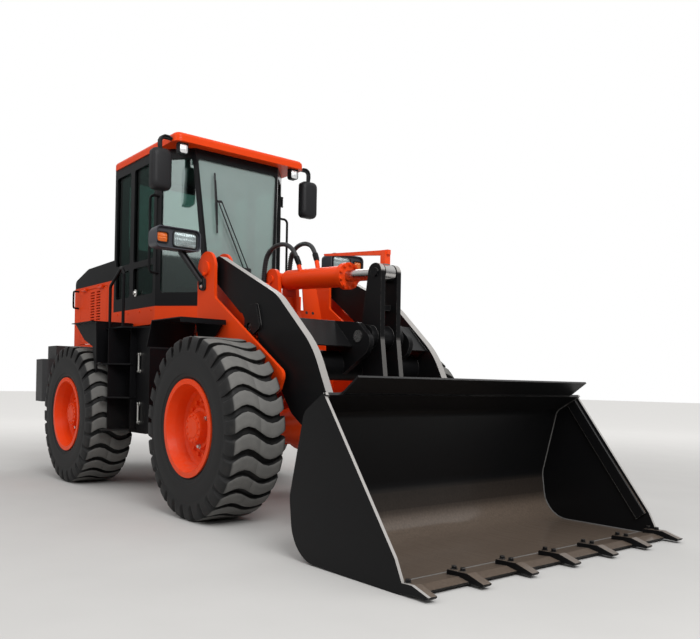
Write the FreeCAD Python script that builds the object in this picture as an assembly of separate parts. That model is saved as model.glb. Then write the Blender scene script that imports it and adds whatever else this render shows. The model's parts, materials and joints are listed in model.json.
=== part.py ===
import FreeCAD, Part
import math
import os

# Articulated wheel loader, millimetres.
# X points forward, Y to the machine's left, Z up. The origin is on the ground,
# under the middle of the machine's length, on its centre plane.

V = FreeCAD.Vector

# Driving dimensions of the machine
hinge_x = -450.0            # line of the articulation pins
wheelbase = 2550.0
track = 1860.0
front_x = hinge_x + wheelbase / 2
rear_x = hinge_x - wheelbase / 2
pin_gap = 0.3               # between a pin and its bore, and between curved seats
run_gap = 6.0               # between panels that move past each other

# Wheels
tyre_radius = 672.0
tyre_width = 445.0
rim_radius = 330.0          # bead seat of the tyre
flange_radius = 360.0
spindle_radius = 60.0
hub_inner = 60.0            # hub's inner face, inboard of the wheel's middle plane
axle_z = tyre_radius
lug_count = 28
groove_depth = 26.0
groove_share = 0.30            # of the pitch from one lug to the next
lug_wave = [                   # outboard distance, shift of the groove's middle round the tyre
    (-240.0, -8.0), (-95.0, -42.0), (95.0, 42.0), (240.0, 8.0)]

# Plates of the front frame and the arms, measured from the centre plane
ear_outer = (655.0, 680.0)
ear_inner = (500.0, 525.0)
arm_y = (560.0, 620.0)
boss_y = (535.0, 645.0)

# Pins of the working gear, x and z, with the arms down
arm_pin = (228.0, 1950.0)
bucket_pin = (2035.0, 320.0)
crank_pin = (1644.0, 1361.0)
crank_top = (1683.0, 1832.0)
crank_foot = (1690.0, 560.0)
link_end = (2167.0, 477.0)
tilt_base = (340.0, 1908.0)
lift_base = (35.0, 720.0)
lift_eye = (840.0, 1440.0)
pin_radius = 34.0

# Steering cylinders, x, y and z of their ends on the right side
steer_base = (-1150.0, -265.0, 640.0)
steer_eye = (-370.0, -330.0, 640.0)

# Cab
cab_front = -309.0          # nose at the sill
cab_corner = -715.0         # front door posts
cab_rear = -1690.0
cab_half = 690.0
nose_half = 354.0           # half width of the nose at the sill
roof_half = 450.0           # half width of the nose under the roof
nose_top = -425.0
floor_z = 1560.0
sill_z = 1745.0
glass_low = 1830.0
cab_top = 3150.0
glass_high = cab_top - 90
roof_top = cab_top + 85
wall = 50.0
door_front = -735.0
door_rear = -1250.0

# Hood
hood_front = -1710.0
hood_rear = -3300.0
frame_rear = hood_rear + 50
hood_half = 520.0
hood_low = 1240.0
hood_line = 2095.0          # seam between the painted body and the black cap
hood_top = 2300.0

# Bucket
bucket_half = 1200.0
side_plate = 20.0
shell_plate = 16.0


def box(x0, x1, y0, y1, z0, z1):
    return Part.makeBox(abs(x1 - x0), abs(y1 - y0), abs(z1 - z0),
                        V(min(x0, x1), min(y0, y1), min(z0, z1)))


def rod(start, end, radius):
    start = V(*start)
    along = V(*end) - start
    return Part.makeCylinder(radius, along.Length, start, along)


def fuse(shapes):
    whole = shapes[0]
    if len(shapes) > 1:
        whole = whole.multiFuse(shapes[1:])
    return whole.removeSplitter()


def mirrored(shape):
    return shape.mirror(V(0, 0, 0), V(0, 1, 0))


def both(shape):
    """A right-hand piece and its left-hand twin, as solids that don't touch."""
    return Part.makeCompound(shape.Solids + mirrored(shape).Solids)


def outline(corners, place):
    """A face from corners of (u, v, corner radius), set in space by place(u, v)."""
    marks = []
    for i, (u, v, radius) in enumerate(corners):
        corner = V(u, v, 0)
        if radius == 0:
            marks.append((corner, None, corner))
            continue
        back = V(*corners[i - 1][:2], 0) - corner
        ahead = V(*corners[(i + 1) % len(corners)][:2], 0) - corner
        half = back.getAngle(ahead) / 2
        back.normalize()
        ahead.normalize()
        run = radius / math.tan(half)
        inward = back + ahead
        inward.normalize()
        middle = corner + inward * (radius / math.sin(half) - radius)
        marks.append((corner + back * run, middle, corner + ahead * run))
    edges = []
    for i, (start, middle, end) in enumerate(marks):
        if middle is not None:
            edges.append(Part.Arc(place(start.x, start.y), place(middle.x, middle.y),
                                  place(end.x, end.y)).toShape())
        following = marks[(i + 1) % len(marks)][0]
        if (following - end).Length > 0.01:
            edges.append(Part.makeLine(place(end.x, end.y), place(following.x, following.y)))
    return Part.Face(Part.Wire(edges))


def plate_y(corners, y0, y1):
    """Plate with a side outline of (x, z, corner radius), from y0 to y1."""
    return outline(corners, lambda x, z: V(x, y0, z)).extrude(V(0, y1 - y0, 0))


def offset_path(path, thickness):
    """The path moved to its left by thickness, as (x, z, corner radius)."""
    lines = []
    for (x0, z0, _), (x1, z1, _) in zip(path, path[1:]):
        span = math.hypot(x1 - x0, z1 - z0)
        ux = (x1 - x0) / span
        uz = (z1 - z0) / span
        lines.append((x0 - uz * thickness, z0 + ux * thickness, ux, uz, span))
    moved = [(lines[0][0], lines[0][1], 0)]
    for (ax, az, ux, uz, _), (bx, bz, wx, wz, _), corner in zip(lines, lines[1:], path[1:]):
        turn = ux * wz - uz * wx
        along = ((bx - ax) * wz - (bz - az) * wx) / turn
        radius = max(corner[2] - math.copysign(thickness, turn), 0) if corner[2] else 0
        moved.append((ax + ux * along, az + uz * along, radius))
    x, z, ux, uz, span = lines[-1]
    moved.append((x + ux * span, z + uz * span, 0))
    return moved


def bent_plate(path, thickness, y0, y1):
    """Sheet bent along a path of (x, z, corner radius), its thickness to the path's left."""
    return plate_y(path + offset_path(path, thickness)[::-1], y0, y1)


def plate_z(corners, z0, z1):
    """Plate with a plan outline of (x, y, corner radius), from z0 to z1."""
    return outline(corners, lambda x, y: V(x, y, z0)).extrude(V(0, 0, z1 - z0))


def plate_x(corners, x0, x1):
    """Plate with a front outline of (y, z, corner radius), from x0 to x1."""
    return outline(corners, lambda y, z: V(x0, y, z)).extrude(V(x1 - x0, 0, 0))


def pin(place, y0, y1, radius=pin_radius):
    return rod((place[0], y0, place[1]), (place[0], y1, place[1]), radius)


def bore(place, y0, y1, radius=pin_radius + pin_gap):
    return pin(place, y0 - 1, y1 + 1, radius)


def tube(points, radius, bend):
    """Round bar or tube along points, its corners rounded by arcs of the radius bend."""
    points = [V(*p) for p in points]
    edges = []
    last = points[0]
    for before, corner, after in zip(points, points[1:], points[2:]):
        back = before - corner
        ahead = after - corner
        half = back.getAngle(ahead) / 2
        back.normalize()
        ahead.normalize()
        run = bend / math.tan(half)
        inward = back + ahead
        inward.normalize()
        start = corner + back * run
        end = corner + ahead * run
        middle = corner + inward * (bend / math.sin(half) - bend)
        edges.append(Part.makeLine(last, start))
        edges.append(Part.Arc(start, middle, end).toShape())
        last = end
    edges.append(Part.makeLine(last, points[-1]))
    ring = Part.Wire(Part.makeCircle(radius, points[0], points[1] - points[0]))
    return Part.Wire(edges).makePipeShell([ring], True, False)


def turned(profile, centre, side):
    """Solid of revolution about Y from (outboard distance, radius), for the wheel at centre."""
    x, y, z = centre
    points = [V(x + radius, y + side * out, z) for out, radius in profile]
    face = Part.Face(Part.makePolygon(points + points[:1]))
    return face.revolve(V(x, y, z), V(0, 1, 0), 360)


def save(name, shape):
    shape.exportStep("parts/" + name + ".step")


# Wheels

def tyre(centre, side):
    """Tyre with wavy bars right across its tread, parted by grooves."""
    half = tyre_width / 2
    bead = 199.5
    profile = [                     # outboard distance, radius
        (-bead, rim_radius), (bead, rim_radius), (bead, flange_radius + 4),
        (half, 420), (half, 575), (half - 14, 640), (half - 50, tyre_radius),
        (50 - half, tyre_radius), (14 - half, 640), (-half, 575), (-half, 420),
        (-bead, flange_radius + 4)]
    x, y, z = centre
    half_gap = groove_share * math.pi * tyre_radius / lug_count
    floor = z + tyre_radius - groove_depth
    edge = [V(x + t - half_gap, y + side * out, floor) for out, t in lug_wave]
    edge += [V(x + t + half_gap, y + side * out, floor) for out, t in reversed(lug_wave)]
    groove = Part.Face(Part.makePolygon(edge + edge[:1])).extrude(V(0, 0, groove_depth * 2))
    grooves = []
    for i in range(lug_count):
        turned_groove = groove.copy()
        turned_groove.rotate(V(x, y, z), V(0, 1, 0), 360.0 * i / lug_count)
        grooves.append(turned_groove)
    return turned(profile, centre, side).cut(Part.makeCompound(grooves))


def rim(centre, side):
    seat = rim_radius - pin_gap
    profile = [                     # outboard distance, radius
        (-214, flange_radius), (-200, flange_radius), (-200, seat), (200, seat),
        (200, flange_radius), (214, flange_radius), (214, 322), (150, 300), (85, 286),
        (65, 270), (65, 165), (105, 150), (105, 122), (150, 112), (150, 0), (80, 0),
        (80, spindle_radius + pin_gap), (-hub_inner, spindle_radius + pin_gap),
        (-hub_inner, 150), (40, 160), (40, 285), (-190, 300), (-214, 318)]
    return turned(profile, centre, side)


def axle(x):
    """Axle housing with its bevel-gear dome, brake drums and wheel spindles."""
    y_wheel = track / 2
    drum_in = y_wheel - 290
    drum_out = y_wheel - hub_inner - run_gap
    pieces = [
        rod((x - 110, 0, axle_z), (x + 110, 0, axle_z), 215),
        Part.makeCone(215, 120, 110, V(x + 110, 0, axle_z), V(1, 0, 0)),
        Part.makeCone(215, 95, 190, V(x - 110, 0, axle_z), V(-1, 0, 0)),
        rod((x, -drum_in - 10, axle_z), (x, drum_in + 10, axle_z), 100),
        Part.makeCone(185, 100, 260, V(x, 100, axle_z), V(0, 1, 0)),
        Part.makeCone(185, 100, 260, V(x, -100, axle_z), V(0, -1, 0))]
    for side in (-1, 1):
        pieces.append(rod((x, side * drum_in, axle_z), (x, side * (drum_in + 110), axle_z), 165))
        pieces.append(rod((x, side * (drum_in + 100), axle_z), (x, side * drum_out, axle_z), 140))
        pieces.append(rod((x, side * drum_out, axle_z), (x, side * (y_wheel + 78), axle_z),
                          spindle_radius))
    return fuse(pieces)


# Front half

saddle_top = axle_z + 172


def front_axle():
    saddles = [box(front_x - 120, front_x + 120, s * ear_inner[0], s * ear_outer[1],
                   axle_z, saddle_top) for s in (-1, 1)]
    return fuse([axle(front_x)] + saddles)


hinge_levels = (480.0, 1120.0)     # middle heights of the lower and upper hinge tongues
tongue_half = 30.0
hinge_pin_radius = 40.0


def front_frame():
    ax, az = arm_pin
    rear_edge = [(140, 470, 60), (20, 470, 80), (-45, 620, 60), (-45, 860, 80), (ax - 140, 1420, 80)]
    head = [(ax - 140, az + 140, 139), (ax + 140, az + 140, 139), (ax + 145, 1700, 40)]
    belly = [(1100, saddle_top, 60), (front_x - 200, saddle_top, 0), (480, 640, 60)]
    nose = [(1390, 1085, 60), (1330, 960, 40)]
    short_nose = [(1235, 1150, 40), (1215, 940, 60)]
    outer = plate_y(head + nose + belly + rear_edge, -ear_outer[1], -ear_outer[0])
    inner = plate_y(head + short_nose + belly + rear_edge, -ear_inner[1], -ear_inner[0])
    # Closing strips between the two plates, behind the lift cylinder and under the arm
    back = bent_plate([(86, 1416, 0), (-41, 860, 60), (-41, 620, 50), (24, 474, 40), (136, 474, 0)], 14,
                      -ear_outer[0] - 1, -ear_inner[1] + 1)
    under = bent_plate([(1190, 946, 0), (1180, 1040, 30), (980, 1180, 0)], 14,
                       -ear_outer[0] - 1, -ear_inner[1] + 1)
    sill = box(front_x - 190, front_x + 190, -ear_outer[0] - 1, -ear_inner[1] + 1,
               saddle_top, saddle_top + 16)
    shield = box(60, 85, -ear_inner[0] - 1, 0, 470, 1420)
    deck = box(84, 460, -ear_inner[0] - 1, 0, 1395, 1420)
    front_wall = box(435, 460, -ear_inner[0] - 1, 0, 900, 1420)
    tx, tz = tilt_base
    tower = plate_y([(tx - 90, tz + 90, 89), (tx + 90, tz + 90, 89), (tx + 130, 1640, 40),
                     (tx + 260, 1395, 0), (tx - 250, 1395, 0), (tx - 110, 1700, 60)],
                    -tower_outer, -75)
    right = fuse([outer, inner, back, under, sill, shield, deck, front_wall, tower])
    whole = [right, mirrored(right), box(tx + 60, tx + 90, -76, 76, 1400, 1700)]
    for level in hinge_levels:
        whole.append(plate_z([(70, -320, 0), (70, 320, 0), (hinge_x - 95, 92, 92),
                              (hinge_x - 95, -92, 92)], level - tongue_half, level + tongue_half))
    # Lugs of the steering cylinders' front ends
    sx, sy, sz = steer_eye
    for s in (-1, 1):
        for low, high in ((sz - 65, sz - 40), (sz + 40, sz + 65)):
            whole.append(plate_z([(sx - 50, s * (abs(sy) - 50), 48), (sx - 50, s * (abs(sy) + 50), 48),
                                  (70, s * 420, 0), (70, s * 240, 0)], low, high))
    frame = fuse(whole)
    for level in hinge_levels:
        frame = frame.cut(rod((hinge_x, 0, level - 50), (hinge_x, 0, level + 50),
                              hinge_pin_radius + pin_gap))
    frame = frame.cut(bore(tilt_base, -tower_outer, tower_outer, pin_radius))
    pins = [pin(tilt_base, -tower_outer - 12, tower_outer + 12)]
    for s in (-1, 1):
        frame = frame.cut(rod((sx, s * abs(sy), sz - 70), (sx, s * abs(sy), sz + 70), 28))
        # Arm pins with their cover plates, and the lift cylinders' pins
        pins.append(pin(arm_pin, s * (ear_inner[0] - 5), s * (ear_outer[1] + 5), pin_radius + 10))
        pins.append(pin(arm_pin, s * (ear_outer[1] - 1), s * (ear_outer[1] + 16), pin_radius + 26))
        pins.append(pin(lift_base, s * (ear_inner[0] - 5), s * (ear_outer[1] + 5)))
    return fuse([frame] + pins)


fender_y = (700.0, 1090.0)


def front_fenders():
    """Flat plates over the rear quarter of the front wheels, on a bracket from the frame."""
    y0, y1 = fender_y
    top = box(95, 600, -y1, -y0, 1494, 1502)
    lip = plate_y([(594, 1500, 0), (602, 1500, 0), (606, 1462, 0), (598, 1462, 0)], -y1, -y0)
    back = plate_y([(95, 1502, 0), (103, 1496, 0), (15, 1290, 0), (7, 1294, 0)], -y1, -y0)
    bracket = plate_y([(130, 1495, 0), (590, 1495, 0), (450, 1380, 30), (180, 1330, 30)],
                      -y0 - 12, -y0)
    arm = box(200, 330, -y0 - 6, -ear_outer[1], 1400, 1440)
    return both(fuse([top, lip, back, bracket, arm]))


lamp_x = 60.0


def headlamps():
    """Lamp housings on their flat-bar brackets, bolted to the tower plates."""
    foot = plate_y([(150, 1770, 25), (235, 1770, 25), (235, 1870, 25), (150, 1870, 25)],
                   -ear_outer[1] - 14, -ear_outer[1])
    shank = rod((192, -ear_outer[1] - 22, 1838), (lamp_x + 20, -870, 2120), 16)
    housing = plate_x([(-1010, 2112, 30), (-770, 2112, 30), (-770, 2265, 30), (-1010, 2265, 30)],
                      lamp_x - 90, lamp_x + 60)
    return both(fuse([foot, shank, housing]))


# Working gear

def arm_plates():
    bx, bz = bucket_pin
    ax, az = arm_pin
    edge = [                        # x, z, corner radius
        (ax - 100, az + 62, 95), (ax + 110, az + 98, 60), (1190, 1665, 500), (1640, 1270, 700),
        (1925, 720, 300), (bx + 104, bz + 60, 60), (bx + 96, bz - 105, 90), (bx - 100, bz - 105, 90),
        (1700, 620, 500), (1400, 800, 200), (1140, 1130, 200), (960, 1310, 30), (930, 1556, 60),
        (690, 1556, 60), (ax + 60, 1836, 60), (ax - 80, 1880, 60)]
    plate = plate_y(edge, -arm_y[1], -arm_y[0])
    boss = pin(arm_pin, -boss_y[1], -boss_y[0], 90)
    tip = pin(bucket_pin, -arm_y[1] - 10, -arm_y[0] + 10, 95)
    hx, hz = lift_eye
    lugs = [plate_y([(hx - 130, hz + 150, 30), (hx + 100, hz + 180, 30), (hx + 160, hz - 10, 30),
                     (hx + 60, hz - 62, 60), (hx - 62, hz - 62, 60), (hx - 62, hz + 70, 30)], y0, y1)
            for y0, y1 in ((-640, -619), (-561, -540))]
    arm = fuse([plate, boss, tip] + lugs)
    arm = arm.cut(bore(arm_pin, -boss_y[1], -boss_y[0], pin_radius + 10 + pin_gap))
    arm = arm.cut(bore(bucket_pin, -650, -540))
    arm = arm.cut(bore(lift_eye, -640, -619, pin_radius)).cut(bore(lift_eye, -561, -540, pin_radius))
    return both(arm)


cross_at = (1380.0, 1150.0)
cross_radius = 110.0


def arm_cross():
    """Cross tube between the arms, with the two ears that carry the bellcrank."""
    cx, cz = cross_at
    tube_body = rod((cx, -arm_y[0], cz), (cx, arm_y[0], cz), cross_radius)
    ear = plate_y([(1242, 1500, 30), (1640, 1462, 60), (1795, 1335, 80), (1740, 1240, 60),
                   (cx + 60, cz - 80, 0), (cx - 90, cz - 40, 0)], -215, -175)
    hood = bent_plate([(1578, 1290, 0), (1372, 1487, 20), (1030, 1506, 0)], 10, -arm_y[0], -214)
    rib = plate_y([(1060, 1500, 0), (1366, 1482, 0), (1560, 1294, 0), (cx + 60, cz + 60, 0),
                   (cx - 60, cz + 60, 0)], -arm_y[0], -arm_y[0] + 10)
    right = fuse([ear, hood, rib])
    whole = fuse([tube_body, right, mirrored(right)])
    return whole.cut(bore(crank_pin, -215, 215, pin_radius + 10))


def crank_pin_piece():
    return pin(crank_pin, -222, 222, pin_radius + 10 - pin_gap)


crank_y = (58.0, 98.0)


def bellcrank():
    """Two parallel plates on the crank pin, with a pin head at each end."""
    tx, tz = crank_top
    kx, kz = crank_pin
    fx, fz = crank_foot
    edge = [                        # x, z, corner radius
        (tx - 68, tz + 68, 67), (tx + 68, tz + 68, 67), (kx + 110, kz, 300), (fx + 130, 900, 200),
        (fx + 66, fz - 66, 65), (fx - 66, fz - 66, 65), (kx - 110, kz, 300)]
    near = plate_y(edge, -crank_y[1], -crank_y[0])
    hub = pin(crank_pin, -150, 150, 88)
    web = box(kx - 30, kx + 40, -crank_y[0] - 1, crank_y[0] + 1, 1560, 1600)
    heads = []
    for place in (crank_top, crank_foot):
        for s in (-1, 1):
            heads.append(pin(place, s * (crank_y[0] + 4), s * (crank_y[1] + 16), pin_radius))
    crank = fuse([near, mirrored(near), hub, web] + heads)
    return crank.cut(bore(crank_pin, -151, 151, pin_radius + 10))


def tilt_link():
    """Link from the bellcrank's foot to the bucket."""
    ex, ez = crank_foot
    lx, lz = link_end
    bar = rod((ex + 30, 0, ez - 5), (lx - 30, 0, lz + 5), 42)
    eyes = [pin(crank_foot, -45, 45, 62), pin(link_end, -45, 45, 62)]
    link = fuse([bar] + eyes)
    link = link.cut(bore(crank_foot, -45, 45, pin_radius))
    return link.cut(bore(link_end, -45, 45))


def link_pin():
    return pin(link_end, -86, 86)


def bucket_pins():
    return both(pin(bucket_pin, -672, -508))


bucket_path = [                     # x, z, corner radius of the shell's outside
    (2545, 965, 0), (2352, 850, 90), (2225, 360, 200), (2270, 8, 230), (3180, 8, 0)]


def bucket():
    """Bucket shell bent from one plate, side plates, spill guard, edge, teeth and pin ears."""
    shell = bent_plate(bucket_path, shell_plate, -bucket_half, bucket_half)
    inside = offset_path(bucket_path, shell_plate)
    cavity = plate_y(inside + [(3400, 24, 0), (3400, 1300, 0), (2600, 1300, 0)],
                     side_plate - bucket_half, bucket_half - side_plate)
    side = plate_y([                # x, z, corner radius
        (2529, 962, 0), (2352, 850, 90), (2225, 360, 200), (2270, 8, 230), (3150, 0, 0),
        (3190, 24, 0), (3119, 170, 60)], -bucket_half, side_plate - bucket_half)
    guard = bent_plate([(2520, 950, 0), (2558, 962, 10), (2682, 1050, 0)], 12, -1080, 1080)
    lip = plate_y([(3060, 0, 0), (3250, 14, 0), (3250, 24, 0), (3180, 38, 0), (3060, 28, 0)],
                  -bucket_half, bucket_half)
    pieces = [shell, side, mirrored(side), guard, lip]
    tooth_pitch = 2 * (bucket_half - 30) / 6
    for i in range(7):
        y = -bucket_half + 30 + i * tooth_pitch
        pieces.append(plate_y([(3100, 20, 0), (3340, 14, 0), (3350, 22, 0), (3350, 30, 0),
                               (3240, 64, 10), (3100, 60, 10)], y - 30, y + 30))
    bx, bz = bucket_pin
    lx, lz = link_end
    for y0, y1 in ((-672, -642), (-538, -508)):
        ear = plate_y([(bx - 92, bz + 92, 91), (bx - 92, bz - 92, 91), (bx + 92, bz - 120, 40),
                       (2330, 90, 0), (2330, 660, 0), (bx + 120, bz + 190, 40)], y0, y1)
        ear = ear.cut(cavity)
        pieces += [ear, mirrored(ear)]
    link_ear = plate_y([(lx - 75, lz + 75, 74), (lx - 75, lz - 75, 74), (2300, 330, 0),
                        (2340, 760, 0), (lx + 60, lz + 150, 40)], -86, -52).cut(cavity)
    pieces += [link_ear, mirrored(link_ear)]
    whole = fuse(pieces)
    for s in (-1, 1):
        whole = whole.cut(pin(bucket_pin, s * 507, s * 673, pin_radius + pin_gap))
    return whole.cut(bore(link_end, -86, 86))


# Hoses of the tilt cylinder: right-hand and left-hand route, x, y, z
hose_routes = [
    [(252, -133, 1712), (252, -133, 2060), (345, -112, 2185), (505, -84, 2205), (625, -58, 2118),
     (655, -45, 2003)],
    [(252, 133, 1712), (252, 133, 2075), (355, 115, 2205), (560, 85, 2225), (735, 55, 2150),
     (790, 40, 2030)]]
hose_radius = 19.0
tower_outer = 110.0         # outer faces of the tower plates


def tilt_hoses():
    """The two hoses, each with its elbow's foot at the tower plate."""
    hoses = []
    for route in hose_routes:
        x, y, z = route[0]
        s = 1 if y > 0 else -1
        foot = rod((x, s * (tower_outer + 2 * pin_gap), z + 10), (x, y + s * hose_radius, z + 10), hose_radius + 3)
        hoses.append(fuse([smooth_tube(route, hose_radius), foot]))
    return Part.makeCompound(hoses)


def on_line(start, end, distance):
    """Point at a distance from start towards end, both given as (x, z)."""
    span = math.hypot(end[0] - start[0], end[1] - start[1])
    share = distance / span
    return (start[0] + (end[0] - start[0]) * share, start[1] + (end[1] - start[1]) * share)


def cylinder_pair(base, eye, y, size):
    """Barrel and rod of one cylinder in the plane y; size gives lengths from the base pin and radii."""

    def stretch(first, last, radius):
        start = on_line(base, eye, first)
        end = on_line(base, eye, last)
        return rod((start[0], y, start[1]), (end[0], y, end[1]), radius)

    span = math.hypot(eye[0] - base[0], eye[1] - base[1])
    eye_half = size["eye_half"]
    barrel = fuse([stretch(size["start"], size["end"], size["barrel"]),
                   stretch(size["eye"] - 20, size["start"] + 1, size["eye"] * 0.75),
                   stretch(size["head"], size["end"], size["flange"]),
                   pin(base, y - eye_half, y + eye_half, size["eye"])])
    barrel = barrel.cut(bore(base, y - eye_half, y + eye_half))
    barrel = barrel.cut(stretch(size["bore"], size["end"] + 1, size["rod"] + pin_gap))
    moving = fuse([stretch(size["rod_start"], span - size["eye"] + 10, size["rod"]),
                   pin(eye, y - eye_half, y + eye_half, size["eye"])])
    return barrel, moving.cut(bore(eye, y - eye_half, y + eye_half, pin_radius))


# Lengths along the cylinder from its base pin, then radii; eye_half is half the eyes' width
lift_size = {"start": 56, "head": 950, "end": 1005, "bore": 68, "rod_start": 76,
             "barrel": 55, "flange": 62, "rod": 25, "eye": 58, "eye_half": 27}
tilt_size = {"start": 116, "head": 880, "end": 930, "bore": 140, "rod_start": 345,
             "barrel": 84, "flange": 105, "rod": 45, "eye": 66, "eye_half": 48}


tilt_sleeve = {"start": 330, "end": 450, "radius": 62, "room": 860}


def lift_cylinders():
    return cylinder_pair(lift_base, lift_eye, -(arm_y[0] + arm_y[1]) / 2, lift_size)


def tilt_cylinder():
    barrel, moving = cylinder_pair(tilt_base, crank_top, 0, tilt_size)
    ports = []
    for route in hose_routes:
        end = V(*route[-1])
        along = end - V(*route[-2])
        along.normalize()
        ports.append(Part.makeCylinder(hose_radius, 100, end + along * pin_gap, along))

    def core(first, last, radius):
        start = on_line(tilt_base, crank_top, first)
        end = on_line(tilt_base, crank_top, last)
        return rod((start[0], 0, start[1]), (end[0], 0, end[1]), radius)

    barrel = fuse([barrel] + ports)
    barrel = barrel.cut(core(tilt_size["bore"], tilt_size["end"], tilt_size["rod"] + pin_gap))
    barrel = barrel.cut(core(tilt_size["bore"], tilt_sleeve["room"], tilt_sleeve["radius"] + pin_gap))
    # Sleeve that guides the rod inside the barrel
    sleeve = core(tilt_sleeve["start"], tilt_sleeve["end"], tilt_sleeve["radius"])
    sleeve = sleeve.cut(core(tilt_sleeve["start"] - 1, tilt_sleeve["end"] + 1, tilt_size["rod"] + pin_gap))
    # The levelling bar rides above the rod, carried by a block on the rod's eye
    cx, cz = crank_top
    block = box(cx - 26, cx + 26, -26, 26, cz + tilt_size["eye"] - 6, 1990)
    bar = plate_y([(cx - 725, 2064, 0), (cx - 725, 2050, 0), (cx - 60, 1972, 0), (cx + 42, 1968, 0),
                   (cx + 42, 2002, 0), (cx - 40, 2006, 0)], -15, 15)
    return barrel, fuse([moving, block, bar]), sleeve


def steering_cylinder(s):
    bx, by, bz = steer_base
    ex, ey, ez = steer_eye
    start = V(bx, s * abs(by), bz)
    end = V(ex, s * abs(ey), ez)
    along = end - start
    span = along.Length
    along.normalize()
    up = V(0, 0, 30)

    def stretch(first, last, radius):
        return Part.makeCylinder(radius, last - first, start + along * first, along)

    barrel = fuse([stretch(30, 80, 30), stretch(78, 505, 38), Part.makeCylinder(42, 80, start - V(0, 0, 40))])
    barrel = barrel.cut(Part.makeCylinder(27 + pin_gap, 82, start - V(0, 0, 41)))
    barrel = barrel.cut(stretch(70, 506, 22 + pin_gap))
    moving = fuse([stretch(281, span - 36, 22), Part.makeCylinder(44, 60, end - up)])
    return barrel, moving.cut(Part.makeCylinder(28, 62, end - V(0, 0, 31)))


def smooth_tube(points, radius):
    """Hose along points; each arc is as large as its two runs allow."""
    points = [V(*p) for p in points]
    edges = []
    last = points[0]
    for before, corner, after in zip(points, points[1:], points[2:]):
        back = before - corner
        ahead = after - corner
        shorter = min(back.Length, ahead.Length)
        turn = math.pi - back.getAngle(ahead)
        bend = 0.45 * shorter / math.tan(turn / 2)
        back.normalize()
        ahead.normalize()
        start = corner + back * (0.45 * shorter)
        end = corner + ahead * (0.45 * shorter)
        inward = back + ahead
        inward.normalize()
        middle = corner + inward * (bend / math.cos(turn / 2) - bend)
        print("hose bend radius", round(bend))
        edges.append(Part.makeLine(last, start))
        edges.append(Part.Arc(start, middle, end).toShape())
        last = end
    edges.append(Part.makeLine(last, points[-1]))
    ring = Part.Wire(Part.makeCircle(radius, points[0], points[1] - points[0]))
    path = Part.Wire(edges)
    hose = path.makePipeShell([ring], True, False)
    print("hose volume ratio", round(hose.Volume / (math.pi * radius ** 2 * path.Length), 4))
    return hose


# Rear half

def rear_frame():
    rail = plate_y([                # x, z, corner radius
        (-800, 440, 0), (-1100, 470, 80), (-1420, 830, 80), (-2030, 830, 80), (-2300, 700, 80),
        (frame_rear, 700, 0), (frame_rear, 1180, 0), (-800, 1180, 0)], -405, -380)
    pieces = [rail, mirrored(rail)]
    front_wall = box(-800, -775, -405, 405, 440, 1180)
    for s in (-1, 1):
        front_wall = front_wall.cut(box(-801, -774, s * 195, s * 379, 550, 730))
    pieces.append(front_wall)
    for x in (-1330, -2030, frame_rear):
        pieces.append(box(x, x + 25, -381, 381, 830, 1180))
    for x in (frame_rear + 350, -2250):
        pieces.append(box(x, x + 60, -381, 381, 790, 840))
    # Cab posts
    for x in (-800, -1640):
        for s in (-1, 1):
            pieces.append(box(x, x + 90, s * 300, s * 405, 1120, floor_z - 20))
    for level in hinge_levels:
        for low in (level - tongue_half - 5 - 30, level + tongue_half + 5):
            pieces.append(plate_z([(-790, -320, 0), (-790, 320, 0), (hinge_x + 85, 84, 84),
                                   (hinge_x + 85, -84, 84)], low, low + 30))
        pieces.append(rod((hinge_x, 0, level - 80), (hinge_x, 0, level + 80), hinge_pin_radius))
    bx, by, bz = steer_base
    for s in (-1, 1):
        for low, high in ((bz - 70, bz - 46), (bz + 46, bz + 70)):
            pieces.append(plate_z([(bx - 60, s * 385, 0), (bx + 60, s * 385, 0),
                                   (bx + 45, s * (abs(by) - 45), 40), (bx - 45, s * (abs(by) - 45), 40)],
                                  low, high))
        pieces.append(rod((bx, s * abs(by), bz - 74), (bx, s * abs(by), bz + 74), 27))
        # Outriggers that carry the tanks, platforms and rear fenders
        pieces.append(box(-1000, -900, s * 380, s * 430, 900, 1180))
    return fuse(pieces)


def rear_axle():
    saddle = box(rear_x - 130, rear_x + 130, -405, 405, axle_z + 40, 830)
    return fuse([axle(rear_x), saddle])


weight_rear = hood_rear - 30
hitch_x = weight_rear              # behind the hood, so that a pin drops in from above
hitch_radius = 16.0


def counterweight():
    """Cast block behind the rear wheels, with the tow hitch in its middle."""
    front = hood_rear + 400
    inner = weight_rear + 80
    block = plate_z([(weight_rear, -960, 90), (weight_rear, 960, 90), (front, 1000, 60), (front, 406, 0),
                     (inner, 406, 0), (inner, -406, 0), (front, -406, 0), (front, -1000, 60)], 760, 1240)
    upper = [box(hood_rear - 10, hood_rear + 280, s * hood_half, s * 820, 1239, 1400) for s in (-1, 1)]
    foot = box(hitch_x - 36, inner, -380, 380, 560, 761)
    foot = foot.cut(box(hitch_x - 37, hitch_x + 36, -80, 80, 640, 700))
    block = block.cut(box(weight_rear - 1, weight_rear + 30, -45, 45, 761, 1241))
    block = fuse([block, foot] + upper)
    return block.cut(rod((hitch_x, 0, 559), (hitch_x, 0, 762), hitch_radius))


def engine_block():
    return box(hood_rear + 300, hood_front - 340, -300, 300, 840, 1700)


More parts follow.
